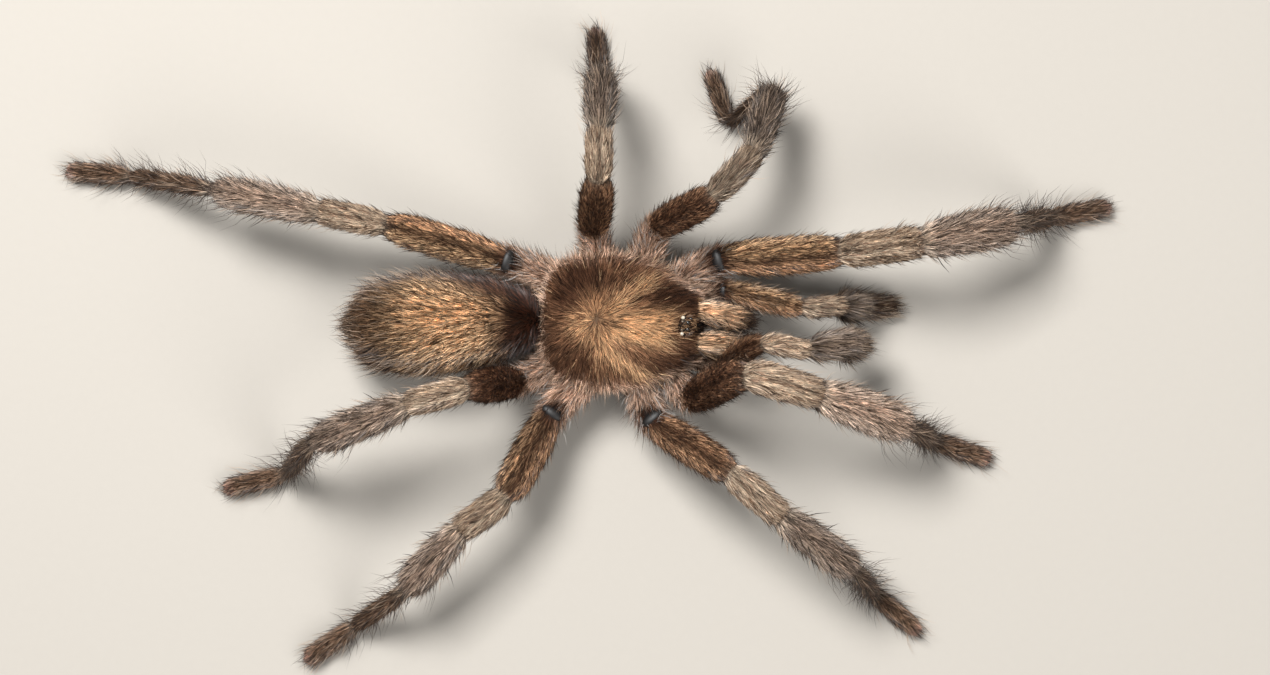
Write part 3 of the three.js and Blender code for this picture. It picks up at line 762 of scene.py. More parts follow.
# %% Length and lift on the limbs
KNEE_LIFT = 10.5
for number, form in enumerate(FORMS):
    if not form.get("limb"):
        continue
    mine, palp = (which == number).astype(float), form["pair"] == 0
    hip, femur, knee, shin, foot = limb_parts(mine)
    palm, toes = mine * step(place, 2.99, 0.1), mine * step(place, 5.0, 0.3)
    for part, length, lift in (
        (hip, 1.4, 26), (femur, 1.05, 12), (knee, 1.08, KNEE_LIFT), (shin, 1.2, 14), (foot, 1.1, 16),
        (palm * palp, 1.5, 13), (toes, 0.7, 12),
    ):
        paint("length", length, part)
        paint("lift", lift, part)
    for joint in range(2, form["last"]):
        FIELD["length"] *= 1 - (0.3 if palp else 0.62) * mine * ridge(place, joint - 0.06, 0.075)
    if palp:
        facing = np.degrees(np.arcsin(np.clip(normals @ heading(0), 0, 1)))
        paint("lift", np.maximum(11, 0.85 * facing), palm)
        paint("length", 0.95, mine * step(place, 4.45, 0.3))
        onward = heading(-8 if form["side"] == "right" else 0) * 2.0
        FIELD["lie"] += (palm * step(place, 2.9, 0.3))[:, None] * onward
print("mean length on the limbs", round(float(FIELD["length"][limbs].mean()), 2), "mm")

# %% [markdown]
# ## Markings of the front body
# The hairs of the shield radiate from the fovea. Golden ones make a band from there to the eyes and a
# ray on each side of it, and dark brown ones fill the spaces between. The rim has a pale pinkish fringe.

# %% Markings of the front body
BROWN, DEEP_BROWN, RED_BROWN = srgb("#916b50"), srgb("#563a2a"), srgb("#7c5440")
BRIGHT_GOLD, RAY_GOLD = srgb("#e6bf93"), srgb("#c99f76")
shield = (kind == "shield").astype(float)


def spot(at_ahead, at_left, long, wide):
    """A soft oval on the shield: exp(-d ** 3), with d the way from its middle in the oval's own radii."""
    return np.exp(-(((ahead - at_ahead) / long) ** 2 + ((left - at_left) / wide) ** 2) ** 1.5)


tones(shield, BROWN, DEEP_BROWN, 0.35)
# The dark spaces between the rays.
for oval in (
    spot(-1.5, 3.7, 2.0, 1.8), spot(-2.8, 2.1, 1.2, 1.4), spot(7.5, 2.7, 2.5, 1.5), spot(7.9, -3.7, 2.2, 1.6),
    0.6 * spot(-1.9, -4.1, 2.0, 1.4), 0.45 * spot(-5.0, 0.3, 1.5, 1.7), 0.5 * spot(0.3, 3.5, 1.6, 1.0),
    0.7 * spot(5.9, 2.3, 1.2, 0.7), 0.7 * spot(6.1, -4.0, 1.5, 0.8), 0.6 * spot(-4.3, -2.2, 1.2, 1.2),
):
    tones(shield * np.clip(1.2 * oval, 0, 1), DEEP_BROWN, NEAR_BLACK, 0.35)
margin = np.maximum(spot(3.4, -6.1, 3.4, 0.7), spot(3.5, 5.6, 3.0, 0.6))
tones(shield * 0.8 * margin, RED_BROWN, DEEP_BROWN, 0.5)
# Golden rays: each is a curve, left = line, with its strength, half its width and where it starts and ends.
ray = 0
for line, strength, half_width, start, end, soft in (
    (0.98 * ahead - 0.02 * ahead**2 - 0.2, 1, 0.85, 0.3, 5.4, 1.8),
    (-0.8 * ahead + 0.02 * ahead**2 - 1.75, 0.82, 0.76, -0.4, 6.0, 1.8),
    (-1.5 * ahead - 3.3, 0.2, 0.5, -0.2, 1.8, 1.0),
):
    ray = ray + strength * ridge(left, line, half_width) * window(ahead, start, end, soft)
tones(shield * np.clip(ray, 0, 1) * 0.92, BRIGHT_GOLD, BROWN, 0.32)
band = ridge(left, -0.5, 0.85 + 0.14 * ahead.clip(0, 6), 4) * window(ahead, 0.2, 7.6, 1.2)
tones(shield * band, BRIGHT_GOLD, RAY_GOLD, 0.4)
tones(shield * band * ridge(left, -0.35, 0.45) * 0.7, RAY_GOLD, BROWN, 0.4)
around = ridge(fovea_distance, 1.2, 0.9) * (1 - step(ahead, 1.0, 1.5))
tones(shield * around * 0.7, RAY_GOLD, BROWN, 0.45)
# Smaller patches: their oval and strength, then their two tones and the share.
for oval, tone, other, share in (
    (0.8 * spot(-1.0, -0.6, 1.2, 1.1), BRIGHT_GOLD, BROWN, 0.35),
    (0.8 * spot(-1.9, 1.4, 1.0, 0.8), DEEP_BROWN, STRIPE, 0.4),
    (0.95 * spot(3.9, 2.0, 1.1, 0.7), BROWN, DEEP_BROWN, 0.6),
    (0.55 * spot(3.4, 0.9, 2.4, 0.7), RAY_GOLD, BROWN, 0.35),
    (0.85 * spot(7.5, -1.1, 1.0, 2.4), DEEP_BROWN * 1.7, DEEP_BROWN, 0.4),
    (0.4 * spot(6.9, -3.0, 1.0, 0.8), BROWN, DEEP_BROWN, 0.5),
    # Painted shade in the fovea's pit and just ahead of it.
    (0.6 * spot(0.7, -0.3, 1.1, 0.5), DEEP_BROWN * 1.5, BROWN, 0.5),
    (0.6 * spot(0.0, 0.0, 0.4, 0.35), DEEP_BROWN, STRIPE, 0.5),
):
    tones(shield * oval, tone, other, share)
rim = shield * step(0.4 - np.cos(turn) + 0.05 * blotch, 0, 0.34)
tones(rim, PINK_TAN, TAN_SHADE, 0.4)
tones(shield * spot(5.2, 4.8, 1.5, 0.9) * 0.75, BROWN, DEEP_BROWN, 0.5)
tones(shield * (1 - step(ahead, -4.3, 0.9)) * window(left, -3.5, -0.6, 1.5) * 0.3, PINK_TAN, TAN_SHADE, 0.6)
print("golden share of the shield", round(float(band[kind == "shield"].mean()), 2))

# %% [markdown]
# ## Lie of the coat on the front body
# The hairs of the shield and of the soft flanks beside it point away from the fovea. They are short and
# flat there and grow longer towards the rim. The flanks' hairs lift most, and fill the gaps between
# the hips.

# %% Lie of the coat on the front body
way = head_line[0] * ahead[:, None] + head_line[1] * left[:, None]
radial = np.concatenate([way, np.zeros((total, 1))], 1) / np.maximum(fovea_distance, 0.3)[:, None]
flat_kind = np.isin(kind, ["shield", "flanks"])
FIELD["lie"][flat_kind] = radial[flat_kind]
paint("length", 1.1, shield)
paint("length", 0.6, shield * ridge(fovea_distance, 0, 0.8))
paint("lift", 8.0, shield)
paint("lift", 14.0, rim)
paint("length", 1.5, rim)
flanks = (kind == "flanks").astype(float)
tones(flanks, PINK_TAN, TAN_SHADE, 0.4)
# Painted shade in two gaps beside the right hips.
for shade_between_hips in (spot(0.4, -6.6, 0.9, 1.0), spot(4.6, -6.5, 1.5, 0.9)):
    tones(np.maximum(flanks, shield) * shade_between_hips * 0.75, BROWN, DEEP_BROWN, 0.5)
paint("length", 1.3, flanks)
paint("lift", 24.0, flanks)
print("mean length on the shield", round(float(FIELD["length"][kind == "shield"].mean()), 2), "mm")

# %% [markdown]
# ## Markings of the jaws and the hind body
# The jaws are pale gold over their bases and darken towards their tips, with painted light on the left
# one and painted shade on the right. The abdomen is nearly black where it meets the waist, deepened there
# by painted shadow, and turns golden behind its first quarter. Its sides and tail are greyer, and painted
# shade darkens its left side more.

# %% Markings of the jaws and the hind body
JAW_GOLD, JAW_SHADE, JAW_TIP = srgb("#e6c29e"), srgb("#94745a"), srgb("#7d5d46")
TAIL_BROWN, SIDE_GREY, WAIST_RED = srgb("#6e503a"), srgb("#7d5e45"), srgb("#683c29")
ABDOMEN_GOLD, ABDOMEN_SHADE = srgb("#fbd3a6"), srgb("#a87f5a")
jaw = (kind == "jaw").astype(float)
tones(jaw, JAW_GOLD, JAW_SHADE, 0.3)
# Painted light on the left jaw and painted shade on the right.
paint_light_and_shade((FORM_NAMES[which] == "jaw_left").astype(float), 1.05)
paint_light_and_shade((FORM_NAMES[which] == "jaw_right").astype(float), 0.92)
tones(jaw * step(place, 1.35, 0.7), JAW_TIP, DEEP_BROWN, 0.45)
tones(jaw * step(-np.cos(turn), 0.0, 0.7), UNDER, UNDER_SHADE, 0.5)
paint("length", 1.1, jaw)
paint("lift", 9.0, jaw)
hind = (kind == "abdomen").astype(float)
side_turn = 1 - np.cos(turn)
tones(hind, ABDOMEN_GOLD, ABDOMEN_SHADE, 0.33)
# The sides are greyer; painted shade makes the left side darker than the right.
tones(hind * step(side_turn, 0.5, 0.6) * (0.72 + 0.16 * np.sign(left)), SIDE_GREY, UNDER_SHADE, 0.38)
tones(hind * step(left, 1.8, 1.6) * 0.35, SIDE_GREY, UNDER_SHADE, 0.4)
tones(hind * step(place + 0.08 * side_turn, 0.725, 0.36) * 0.92, TAIL_BROWN, UNDER_SHADE, 0.4)
tones(hind * step(side_turn, 1.2, 0.5), UNDER, UNDER_SHADE, 0.5)
front_edge = 0.2 + 0.014 * blotch + 0.13 * np.clip(left - 0.9, 0, 2.2) - 0.05 * np.clip(-left - 3.2, 0, 1.5)
front_edge += 0.03 * ridge(left, -2, 1.2)
tones(hind * (1 - step(place, front_edge, 0.26)), STRIPE * 1.35, NEAR_BLACK * 1.2, 0.4)
# Dark red-brown at the waist, deepened by painted shadow.
waist_patch_and_shadow = (1 - step(place, 0.12, 0.12)) * (1 - step(side_turn, 1.1, 0.6))
tones(hind * waist_patch_and_shadow, WAIST_RED * 0.45, NEAR_BLACK * 0.55, 0.5)
paint("length", 1.3, hind)
paint("lift", 14.0, hind)
paint("length", 1.6, hind * step(place, 0.9, 0.2))
paint("lift", 24.0, hind * step(place, 0.9, 0.2))
FIELD["lie"][kind == "abdomen"] += [0, 0, -0.3]
tones((kind == "sternum").astype(float), UNDER, UNDER_SHADE, 0.5)
tones((kind == "pedicel").astype(float), UNDER_SHADE, NEAR_BLACK, 0.5)
tones((kind == "spinneret").astype(float), SILKY, SILKY_SHADE, 0.4)
paint("length", 0.8, (kind == "spinneret").astype(float))
print("abdomen dark share", round(float((1 - step(place, front_edge, 0.3))[kind == "abdomen"].mean()), 2))

# %% [markdown]
# ## No seams in the coat
# Where a leg joins the body, or one tone meets another, the fields jump. Blurring them over the skin's
# own net makes the coat flow on. The lie is turned into the skin's surface again afterwards, and a
# little noise, blurred over about half a millimetre, gathers the hairs into loose locks. The mound and
# the bare plates at five hips have no hair, and painted shadow darkens the coat round each plate. Where
# a form faces back, into its neighbour, the coat is thin.

# %% No seams in the coat
mound_top = fore(MOUND["ahead"], 0, MOUND["base"])
mound_gap = np.linalg.norm((skin_points - mound_top) / [0.9, 1.15, 1.3], axis=1)
bare = 1 - step(mound_gap, 0.9, 0.2)
OPEN_HIPS = ["leg_left_1", "leg_left_4", "leg_right_2", "leg_right_3", "palp_left"]
# The plates' size on a palp beside a leg's, and how far beyond the hip's joint they lie on each.
PALP_PLATE, LEG_PLATE_AT, PALP_PLATE_AT = 0.72, 0.55, 0.5
plates = []
for form in FORMS:
    if form["name"] in OPEN_HIPS:
        size, beyond = (1, LEG_PLATE_AT) if form["pair"] else (PALP_PLATE, PALP_PLATE_AT)
        row = np.searchsorted(form["place"], 1.0 + beyond / form["lengths"][1])
        hinge = form["centre"][row] + form["up"][row] * (form["above"][row] - 0.2)
        plates.append((form, row, hinge, size))
        away = skin_points - (hinge - form["tangent"][row] * 0.55 * size)
        onward, aside, upward = (away @ form[key][row] for key in ("tangent", "across", "up"))
        gap = np.sqrt((onward / 1.25) ** 2 + (aside / 1.1) ** 2 + upward**2 / 1.2) / size
        bare = np.maximum(bare, 1 - step(gap, 0.9, 0.25))
        # Painted shadow: the coat round the plate is darkened.
        tones(1 - step(gap, 1.25, 0.6), STRIPE, NEAR_BLACK, 0.5)
FIELD["close"] *= 1 - bare
facing_back = -(normals * unit(FIELD["lie"])).sum(1)
thin_from = np.where(np.isin(kind, ["jaw", "shield", "flanks"]), 0.45, 0.95)
FIELD["close"] *= 1 - step(facing_back, thin_from, 0.3) * (kind != "abdomen")
FIELD["close"] *= 1 - 0.35 * step(-normals[:, 2], 0.3, 0.6)
for name in ("tone", "other", "share", "length", "lift", "close"):
    FIELD[name] = blur(FIELD[name], 2)
lie = unit(blur(unit(FIELD["lie"]), 10))
locks = blur(random.normal(size=(total, 3)), 4)
lie = lie + 0.11 * locks / locks.std()
FIELD["lie"] = unit(lie - normals * (lie * normals).sum(1, keepdims=True))
print("bare skin", round(100 * float((FIELD["close"] < 0.3).mean()), 1), "%")

# %% [markdown]
# ## Finishes
# A spider's skin is cuticle, a tough natural varnish, dull where it is covered with fine hair and
# glossy where it is bare. A hair is a hollow cuticle bristle: it shines along its length, so it is a
# little smoother than the skin. Colours come from the tones at each point, and a fine noise keeps
# them from looking printed.

# %% Finishes
def add_node(tree, kind, links=None, **settings):
    """Adds a node, sets its properties or its inputs by name, and links sockets into it."""
    node = tree.nodes.new(kind)
    for key, value in settings.items():
        if hasattr(node, key):
            setattr(node, key, value)
        else:
            node.inputs[key.replace("_", " ")].default_value = value
    for key, socket in (links or {}).items():
        tree.links.new(socket, node.inputs[key])
    return node


def new_material(name):
    """A material with one Principled shader, and its node tree."""
    material = bpy.data.materials.new(name)
    material.use_nodes = True
    return material, material.node_tree, material.node_tree.nodes["Principled BSDF"]


CUTICLE_IOR = 1.56


def toned_material(name, grain, detail, low, roughness, gloss):
    """A finish in the piece's own colours, times low to 1.2 by a noise with grains of `grain` mm.
    gloss is the specular level."""
    material, tree, shader = new_material(name)
    colour = add_node(tree, "ShaderNodeAttribute", attribute_name="coat_colour")
    where = add_node(tree, "ShaderNodeTexCoord")
    noise = add_node(
        tree, "ShaderNodeTexNoise", {"Vector": where.outputs["Object"]},
        Scale=1 / (grain * MM), Detail=detail,
    )
    shade = add_node(tree, "ShaderNodeMapRange", {"Value": noise.outputs["Fac"]}, To_Min=low, To_Max=1.2)
    links = {0: colour.outputs["Color"], "Scale": shade.outputs["Result"]}
    tinted = add_node(tree, "ShaderNodeVectorMath", links, operation="SCALE")
    tree.links.new(tinted.outputs["Vector"], shader.inputs["Base Color"])
    shader.inputs["Roughness"].default_value = roughness
    shader.inputs["Specular IOR Level"].default_value = gloss
    shader.inputs["IOR"].default_value = CUTICLE_IOR
    return material, tree, shader, noise


# Downy cuticle: dull, with a short nap that shows as fine bumps 0.12 mm apart.
cuticle, tree, shader, nap = toned_material("downy_cuticle", 0.12, 3.0, 0.75, 0.75, 0.2)
bump = add_node(tree, "ShaderNodeBump", {"Height": nap.outputs["Fac"]}, Strength=0.7, Distance=0.06 * MM)
tree.links.new(bump.outputs["Normal"], shader.inputs["Normal"])
# Hair: a bristle of the same cuticle, smoother, with a soft gleam and flecks 0.35 mm apart.
# Each hair's own colour is in the mesh.
hair = toned_material("spider_hair", 0.35, 2.0, 0.8, 0.45, 0.3)[0]
print("materials", [material.name for material in bpy.data.materials])


# %% [markdown]
# ## The skin as a piece
# The skin takes the place of every fleshy solid. It shows only between the hairs, so its tones are
# darkened with painted shade, as they would be deep in a real coat.

# %% The skin as a piece
def colour_mesh(mesh, values):
    """Stores a colour at each point of a mesh, as the attribute coat_colour."""
    attribute = mesh.color_attributes.new("coat_colour", "FLOAT_COLOR", "POINT")
    four = np.concatenate([values, np.ones((len(values), 1))], 1)
    attribute.data.foreach_set("color", np.ascontiguousarray(four, np.float32).ravel())


def new_piece(name, mesh, material, smooth=True):
    """An object at the origin that rides on the frame."""
    piece = bpy.data.objects.new(name, mesh)
    bpy.context.collection.objects.link(piece)
    mesh.materials.append(material)
    mesh.polygons.foreach_set("use_smooth", np.full(len(mesh.polygons), smooth))
    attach(piece, "root")
    return piece


# How bright the skin is beside the coat, darkened as painted shade, and how much less where it is bare.
SKIN_SHADE, BARE_SHADE = 0.38, 0.2
skin_tone = FIELD["tone"] * (1 - FIELD["share"][:, None]) + FIELD["other"] * FIELD["share"][:, None]
skin_tone = skin_tone * (SKIN_SHADE - BARE_SHADE * blur(bare, 1)[:, None])
mesh = make_mesh("skin", to_frame(skin_points), skin_faces)
colour_mesh(mesh, skin_tone)
skin = new_piece("skin", mesh, cuticle)
FLESH = [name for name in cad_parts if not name.startswith(("eye_", "fang_"))]
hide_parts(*FLESH)
print("the skin stands for", len(FLESH), "nodes")

# %% [markdown]
# ## Hairs
# Each hair of the coat is a closed spike of four triangles. Its foot is a small triangle in the skin and
# its tip lies along the body, lifted by a few degrees. Real coats are far denser, so each spike is as
# wide as a few hairs. Roots are spread over the skin's faces by area, and each hair reads the fields
# at its root. Its place in the map OFBake is its root's place on the unrolled form: along and round.

# %% Hairs
triangles = np.concatenate([skin_faces[:, [0, 1, 2]], skin_faces[:, [0, 2, 3]]])
corner = skin_points[triangles]
face_area = 0.5 * np.linalg.norm(np.cross(corner[:, 1] - corner[:, 0], corner[:, 2] - corner[:, 0]), axis=1)
face_form = which[triangles[:, 0]]


def sow(names, count, weight=None):
    """Random roots on the skin of the named forms, with the fields there, spread by area and closeness."""
    numbers = [i for i, form in enumerate(FORMS) if form["name"] in names]
    chosen = np.flatnonzero(np.isin(face_form, numbers))
    chance = face_area[chosen] * FIELD["close"][triangles[chosen]].mean(1)
    if weight is not None:
        chance = chance * weight[triangles[chosen]].mean(1)
    face = chosen[random.choice(len(chosen), count, p=chance / chance.sum())]
    u, v = random.random((2, count))
    u, v = np.where(u + v > 1, 1 - u, u), np.where(u + v > 1, 1 - v, v)
    shares = np.stack([1 - u - v, u, v], 1)

    def at(values):
        picked = values[triangles[face]]
        return (picked * shares.reshape(shares.shape + (1,) * (picked.ndim - 2))).sum(1)

    roots = dict(at=at(skin_points), out=unit(at(normals)), form=face_form[face])
    roots.update({name: at(values) for name, values in FIELD.items()})
    roots["place"] = at(place)
    roots["turn"] = np.arctan2(at(np.sin(turn)), at(np.cos(turn)))
    roots["lie"] = unit(roots["lie"] - roots["out"] * (roots["lie"] * roots["out"]).sum(1, keepdims=True))
    return roots


def unrolled(roots, names):
    """Each root's place on the unrolled forms: a strip for each form, along it and round it."""
    numbers = [i for i, form in enumerate(FORMS) if form["name"] in names]
    strip = np.searchsorted(numbers, roots["form"])
    ends = np.array([FORMS[i]["place"][-1] for i in numbers])
    along = np.clip(roots["place"] / ends[strip], 0, 1)
    around = (roots["turn"] + np.pi) / (2 * np.pi)
    return np.stack([0.005 + 0.99 * along, (strip + 0.02 + 0.96 * around) / len(numbers)], 1)


# A spike's faces, and its corners' places in the map, about its root's place there.
SPIKE = np.array([[0, 1, 3], [0, 3, 2], [1, 2, 3], [0, 2, 1]])
PATCH = 0.0015
SPIKE_MAP = np.array([[-1.0, -1.0], [1.0, -1.0], [0.0, -0.3], [0.0, 1.0]]) * PATCH


def coat_mesh(name, points, faces, colours, patch, shape):
    """Joins the hairs of a piece: points (hairs, corners, 3), faces of one hair, colours and the map."""
    hairs, corners = points.shape[:2]
    points = points.reshape(-1, 3)
    points[:, 2] = np.maximum(points[:, 2], 0.01)
    every = (faces[None] + corners * np.arange(hairs)[:, None, None]).reshape(-1, 3)
    mesh = make_mesh(name, to_frame(points), every)
    colour_mesh(mesh, colours.reshape(-1, 3))
    spots = np.clip((patch[:, None] + shape[None]).reshape(-1, 2)[every.ravel()], 0, 1)
    layer = mesh.uv_layers.new(name="OFBake")
    layer.data.foreach_set("uv", np.ascontiguousarray(spots, np.float32).ravel())
    return mesh


def chance_wave():
    """A wave 0.4 to 1.1 mm long round the body, bent by one 4 to 11 mm long, with two random starts."""
    around, along = 2 * np.pi / random.uniform(0.4, 1.1), 2 * np.pi / random.uniform(4, 11)
    return around, along, *random.uniform(0, 6.3, 2)


WAVES = [chance_wave() for _ in range(9)]
WIDEST = np.array([form["wide"].max() for form in FORMS])
LENGTHS = [np.linalg.norm(np.diff(form["centre"], axis=0), axis=1).sum() for form in FORMS]
PACE = np.array([length / form["place"][-1] for length, form in zip(LENGTHS, FORMS)])


def streaks(roots):
    """Locks of lighter and darker hair: waves that are short round the body and long along it, summed.
    On the front body they run round the fovea and outwards from it."""
    ahead, left = from_fovea(roots["at"])
    on_shield = np.isin(roots["form"], [0, 1])
    across = np.where(on_shield, 3.2 * np.arctan2(left, ahead), roots["turn"] * WIDEST[roots["form"]])
    onward = np.where(on_shield, np.hypot(ahead, left), roots["place"] * PACE[roots["form"]])
    waves = [np.cos(a * across + p + 1.5 * np.cos(b * onward + q)) for a, b, p, q in WAVES]
    return np.sum(waves, 0) / np.sqrt(len(WAVES) / 2)


def hair_colours(roots, spread):
    """Each hair's colour: the second tone by its share of chance, then lighter or darker at random."""
    from_middle = np.hypot(*from_fovea(roots["at"]))
    streak = streaks(roots) * np.where(roots["form"] == 0, 0.5 * np.clip(from_middle / 3.5 - 0.2, 0, 1), 1)
    second = random.random(len(roots["share"])) < roots["share"] - 0.08 * streak
    base = np.where(second[:, None], roots["other"], roots["tone"])
    return base * np.exp(random.normal(0, spread, len(base)) + 0.09 * streak)[:, None]


# How deep a hair's foot is in the skin, in mm.
HAIR_SINK = 0.03
# A guard hair is longer and darker than the rest and lifts more, by a factor and some degrees. On the
# knees there are fewer of them.
GUARD_LENGTH, GUARD_LIFT, GUARD_DEGREES, GUARD_SHADE, KNEE_GUARDS = 1.45, 1.5, 4, 0.32, 0.35
# A hair is dark at the two sides of its foot, as painted shade where the coat is deep, a little lighter on
# top, and lightest at its tip.
ROOT_SHADE_TO_TIP = np.array([0.5, 0.5, 0.75, 1.25])


def lay_hairs(name, names, count, width, slot, guards):
    """A coat piece. Tip = root + length x (lie x cos lift + out x sin lift), with a little chance in all.
    The share `guards` of the hairs are guard hairs."""
    roots = sow(names, count)
    chance = random.normal(size=(4, count))
    on_knee = np.abs(roots["lift"] - KNEE_LIFT) < 0.6
    guard = random.random(count) < guards * np.where(on_knee, KNEE_GUARDS, 1)
    roots["length"] = roots["length"] * np.where(guard, GUARD_LENGTH, 1)
    roots["lift"] = roots["lift"] * np.where(guard, GUARD_LIFT, 1) + np.where(guard, GUARD_DEGREES, 0)
    sideways = np.cross(roots["lie"], roots["out"])
    loose = 0.12 + 0.22 * (roots["form"] == 0) * ridge(np.hypot(*from_fovea(roots["at"])), 0, 3)
    lie = unit(roots["lie"] + sideways * (loose * chance[0])[:, None])
    sideways = np.cross(lie, roots["out"])
    lift = np.radians(np.clip(roots["lift"] * (1 + 0.4 * chance[1]), 2, 60))[:, None]
    length = (roots["length"] * np.clip(1 + 0.22 * chance[2], 0.5, 1.6))[:, None]
    wide = width * np.clip(1 + 0.2 * chance[3], 0.6, 1.5)[:, None]
    foot = roots["at"] - roots["out"] * HAIR_SINK
    tip = foot + length * (lie * np.cos(lift) + roots["out"] * np.sin(lift))
    top = foot + roots["out"] * wide * 0.9
    points = np.stack([foot + sideways * wide / 2, foot - sideways * wide / 2, top, tip], 1)
    base = hair_colours(roots, 0.34) * np.where(guard, GUARD_SHADE, 1.06)[:, None]
    colours = base[:, None] * ROOT_SHADE_TO_TIP[None, :, None]
    mesh = coat_mesh(name, points, SPIKE, colours, unrolled(roots, names), SPIKE_MAP)
    print(name, count, "hairs", 4 * count, "triangles")
    return new_piece(name, mesh, hair, smooth=False)


BODY = ["shield", "flanks", "sternum", "pedicel", "jaw_left", "jaw_right"]
# For each coat piece: its forms, how many hairs, their width, its slot and its share of guard hairs.
COATS = {
    "coat_front_body": (BODY, 49000, 0.095, "carapace_coat", 0.05),
    "coat_abdomen": (["abdomen", "spinneret_left", "spinneret_right"], 46000, 0.11, "abdomen_coat", 0.07),
    "coat_legs_left_front": (["leg_left_1", "leg_left_2"], 45000, 0.092, "leg_coat", 0.1),
    "coat_legs_left_rear": (["leg_left_3", "leg_left_4"], 45000, 0.092, "leg_coat", 0.1),
    "coat_legs_right_front": (["leg_right_1", "leg_right_2"], 45000, 0.092, "leg_coat", 0.1),
    "coat_legs_right_rear": (["leg_right_3", "leg_right_4"], 45000, 0.092, "leg_coat", 0.1),
    "coat_palps": (["palp_left", "palp_right"], 24000, 0.085, "leg_coat", 0.12),
}
for name, settings in COATS.items():
    lay_hairs(name, *settings)

# %% [markdown]
# ## Bristles
# Over the short coat stand long bristles: dark ones all over, pale ones at the tail, on the rim and on
# the outer legs, grey ones at the hips, and a few stout spines on the shins. Each is bent once, rising
# first and then leaning along the body, and is closed: three corners at its foot, three at the bend,
# and a tip.

# %% Bristles
BRISTLE = np.array([
    [0, 2, 1], [0, 1, 4], [0, 4, 3], [1, 2, 5], [1, 5, 4],
    [2, 0, 3], [2, 3, 5], [3, 4, 6], [4, 5, 6], [5, 3, 6],
])
BRISTLE_MAP = np.array([[-1, -1], [1, -1], [0, -0.7], [-0.6, 0.2], [0.6, 0.2], [0, 0.4], [0, 1]]) * PATCH
BRISTLE_SINK = 0.05
# Painted shade at a bristle's foot, where the coat is deep, and a lighter tip.
BRISTLE_ROOT_SHADE_TO_TIP = np.array([0.7, 0.7, 0.7, 1.0, 1.0, 1.0, 1.2])


def bristles(roots, length, lift, wide, colour, bend=0.55):
    """Corners and colours of bristles. The first half rises at `lift` degrees, the second at bend x lift.
    Without a lift, they rise as the coat round them does."""
    count = len(roots["at"])
    lift = roots["lift"] if lift is None else lift
    chance = random.normal(size=(4, count))
    sideways = np.cross(roots["lie"], roots["out"])
    lie = unit(roots["lie"] + sideways * 0.3 * chance[0][:, None])
    sideways = np.cross(lie, roots["out"])
    rise = np.radians(np.clip(lift * (1 + 0.3 * chance[1]), 4, 85))[:, None]
    reach = (length * np.clip(1 + 0.25 * chance[2], 0.5, 1.7))[:, None]
    thick = (wide * np.clip(1 + 0.15 * chance[3], 0.6, 1.5))[:, None]
    foot = roots["at"] - roots["out"] * BRISTLE_SINK
    first = lie * np.cos(rise) + roots["out"] * np.sin(rise)
    second = lie * np.cos(rise * bend) + roots["out"] * np.sin(rise * bend)
    upward = unit(np.cross(first, sideways))
    upward = np.where((upward * roots["out"]).sum(1, keepdims=True) < 0, -upward, upward)
    middle = foot + first * reach * 0.5
    tip = middle + second * reach * 0.5
    ring = [sideways * 0.5, -sideways * 0.5, upward * 0.8]
    corners = [foot + part * thick for part in ring] + [middle + part * thick * 0.75 for part in ring] + [tip]
    base = colour * np.exp(random.normal(0, 0.2, (count, 1)))
    return np.stack(corners, 1), base[:, None] * BRISTLE_ROOT_SHADE_TO_TIP[None, :, None], roots


def bristle_piece(name, names, sets):
    """Joins sets of bristles on the named forms into one coat piece."""
    points = np.concatenate([points for points, _, _ in sets])
    colours = np.concatenate([colours for _, colours, _ in sets])
    patch = np.concatenate([unrolled(roots, names) for _, _, roots in sets])
    mesh = coat_mesh(name, points, BRISTLE, colours, patch, BRISTLE_MAP)
    print(name, len(points), "bristles", 10 * len(points), "triangles")
    return new_piece(name, mesh, hair, smooth=False)


DARK_HAIR, PALE_HAIR, GREY_HAIR, SPINE = srgb("#382a22"), srgb("#a8917c"), srgb("#a6a19c"), srgb("#241a15")
side_out = np.clip(1 - np.abs(normals[:, 2]), 0, 1)
tail = (kind == "abdomen") * step(place, 0.8, 0.4)
rear_sides = step(place, 0.45, 0.3) * (0.1 + side_out * (0.3 + tail))
# Each set: where it is sown, then length, lift, width and colour.
hind_sets = [
    bristles(sow(["abdomen"], 4200), 1.7, 19, 0.072, SPINE * 1.2),
    bristles(sow(["abdomen"], 800, rear_sides), 2.4, 36, 0.045, PALE_HAIR),
    bristles(sow(["abdomen"], 500, 0.1 + side_out * tail), 2.8, 34, 0.05, DARK_HAIR),
]
bristle_piece("bristles_abdomen", ["abdomen"], hind_sets)

# %% [markdown]
# ## Bristles of the front body
# The rim has a pale fringe and the brow a short golden one. A few stout dark bristles stand before the
# eyes, and small ones stand between them on the mound.

# %% Bristles of the front body
fringe = (kind == "shield") * step(0.12 - np.cos(turn), 0, 0.2) + 0.25 * (kind == "flanks")
brow = (kind == "shield") * window(place, 0.955, 0.995, 0.02) * step(normals[:, 2], -0.2, 0.4)
eye_gap = (((skin_points - fore(7.45, -0.05, 9.2)) / [0.35, 0.8, 0.6]) ** 2).sum(1)
before_eyes = np.exp(-eye_gap) * (kind == "shield")
MOUND_RADII = np.array([MOUND["half_length"] * 0.98, MOUND["half_width"] * 1.02, MOUND["rise"] + 0.1])
MOUND_CENTRE = mound_top - [0, 0, 0.15]
fore_axes = np.stack([heading(SHIELD["turn"]), heading(SHIELD["turn"] + 90), [0, 0, 1]])


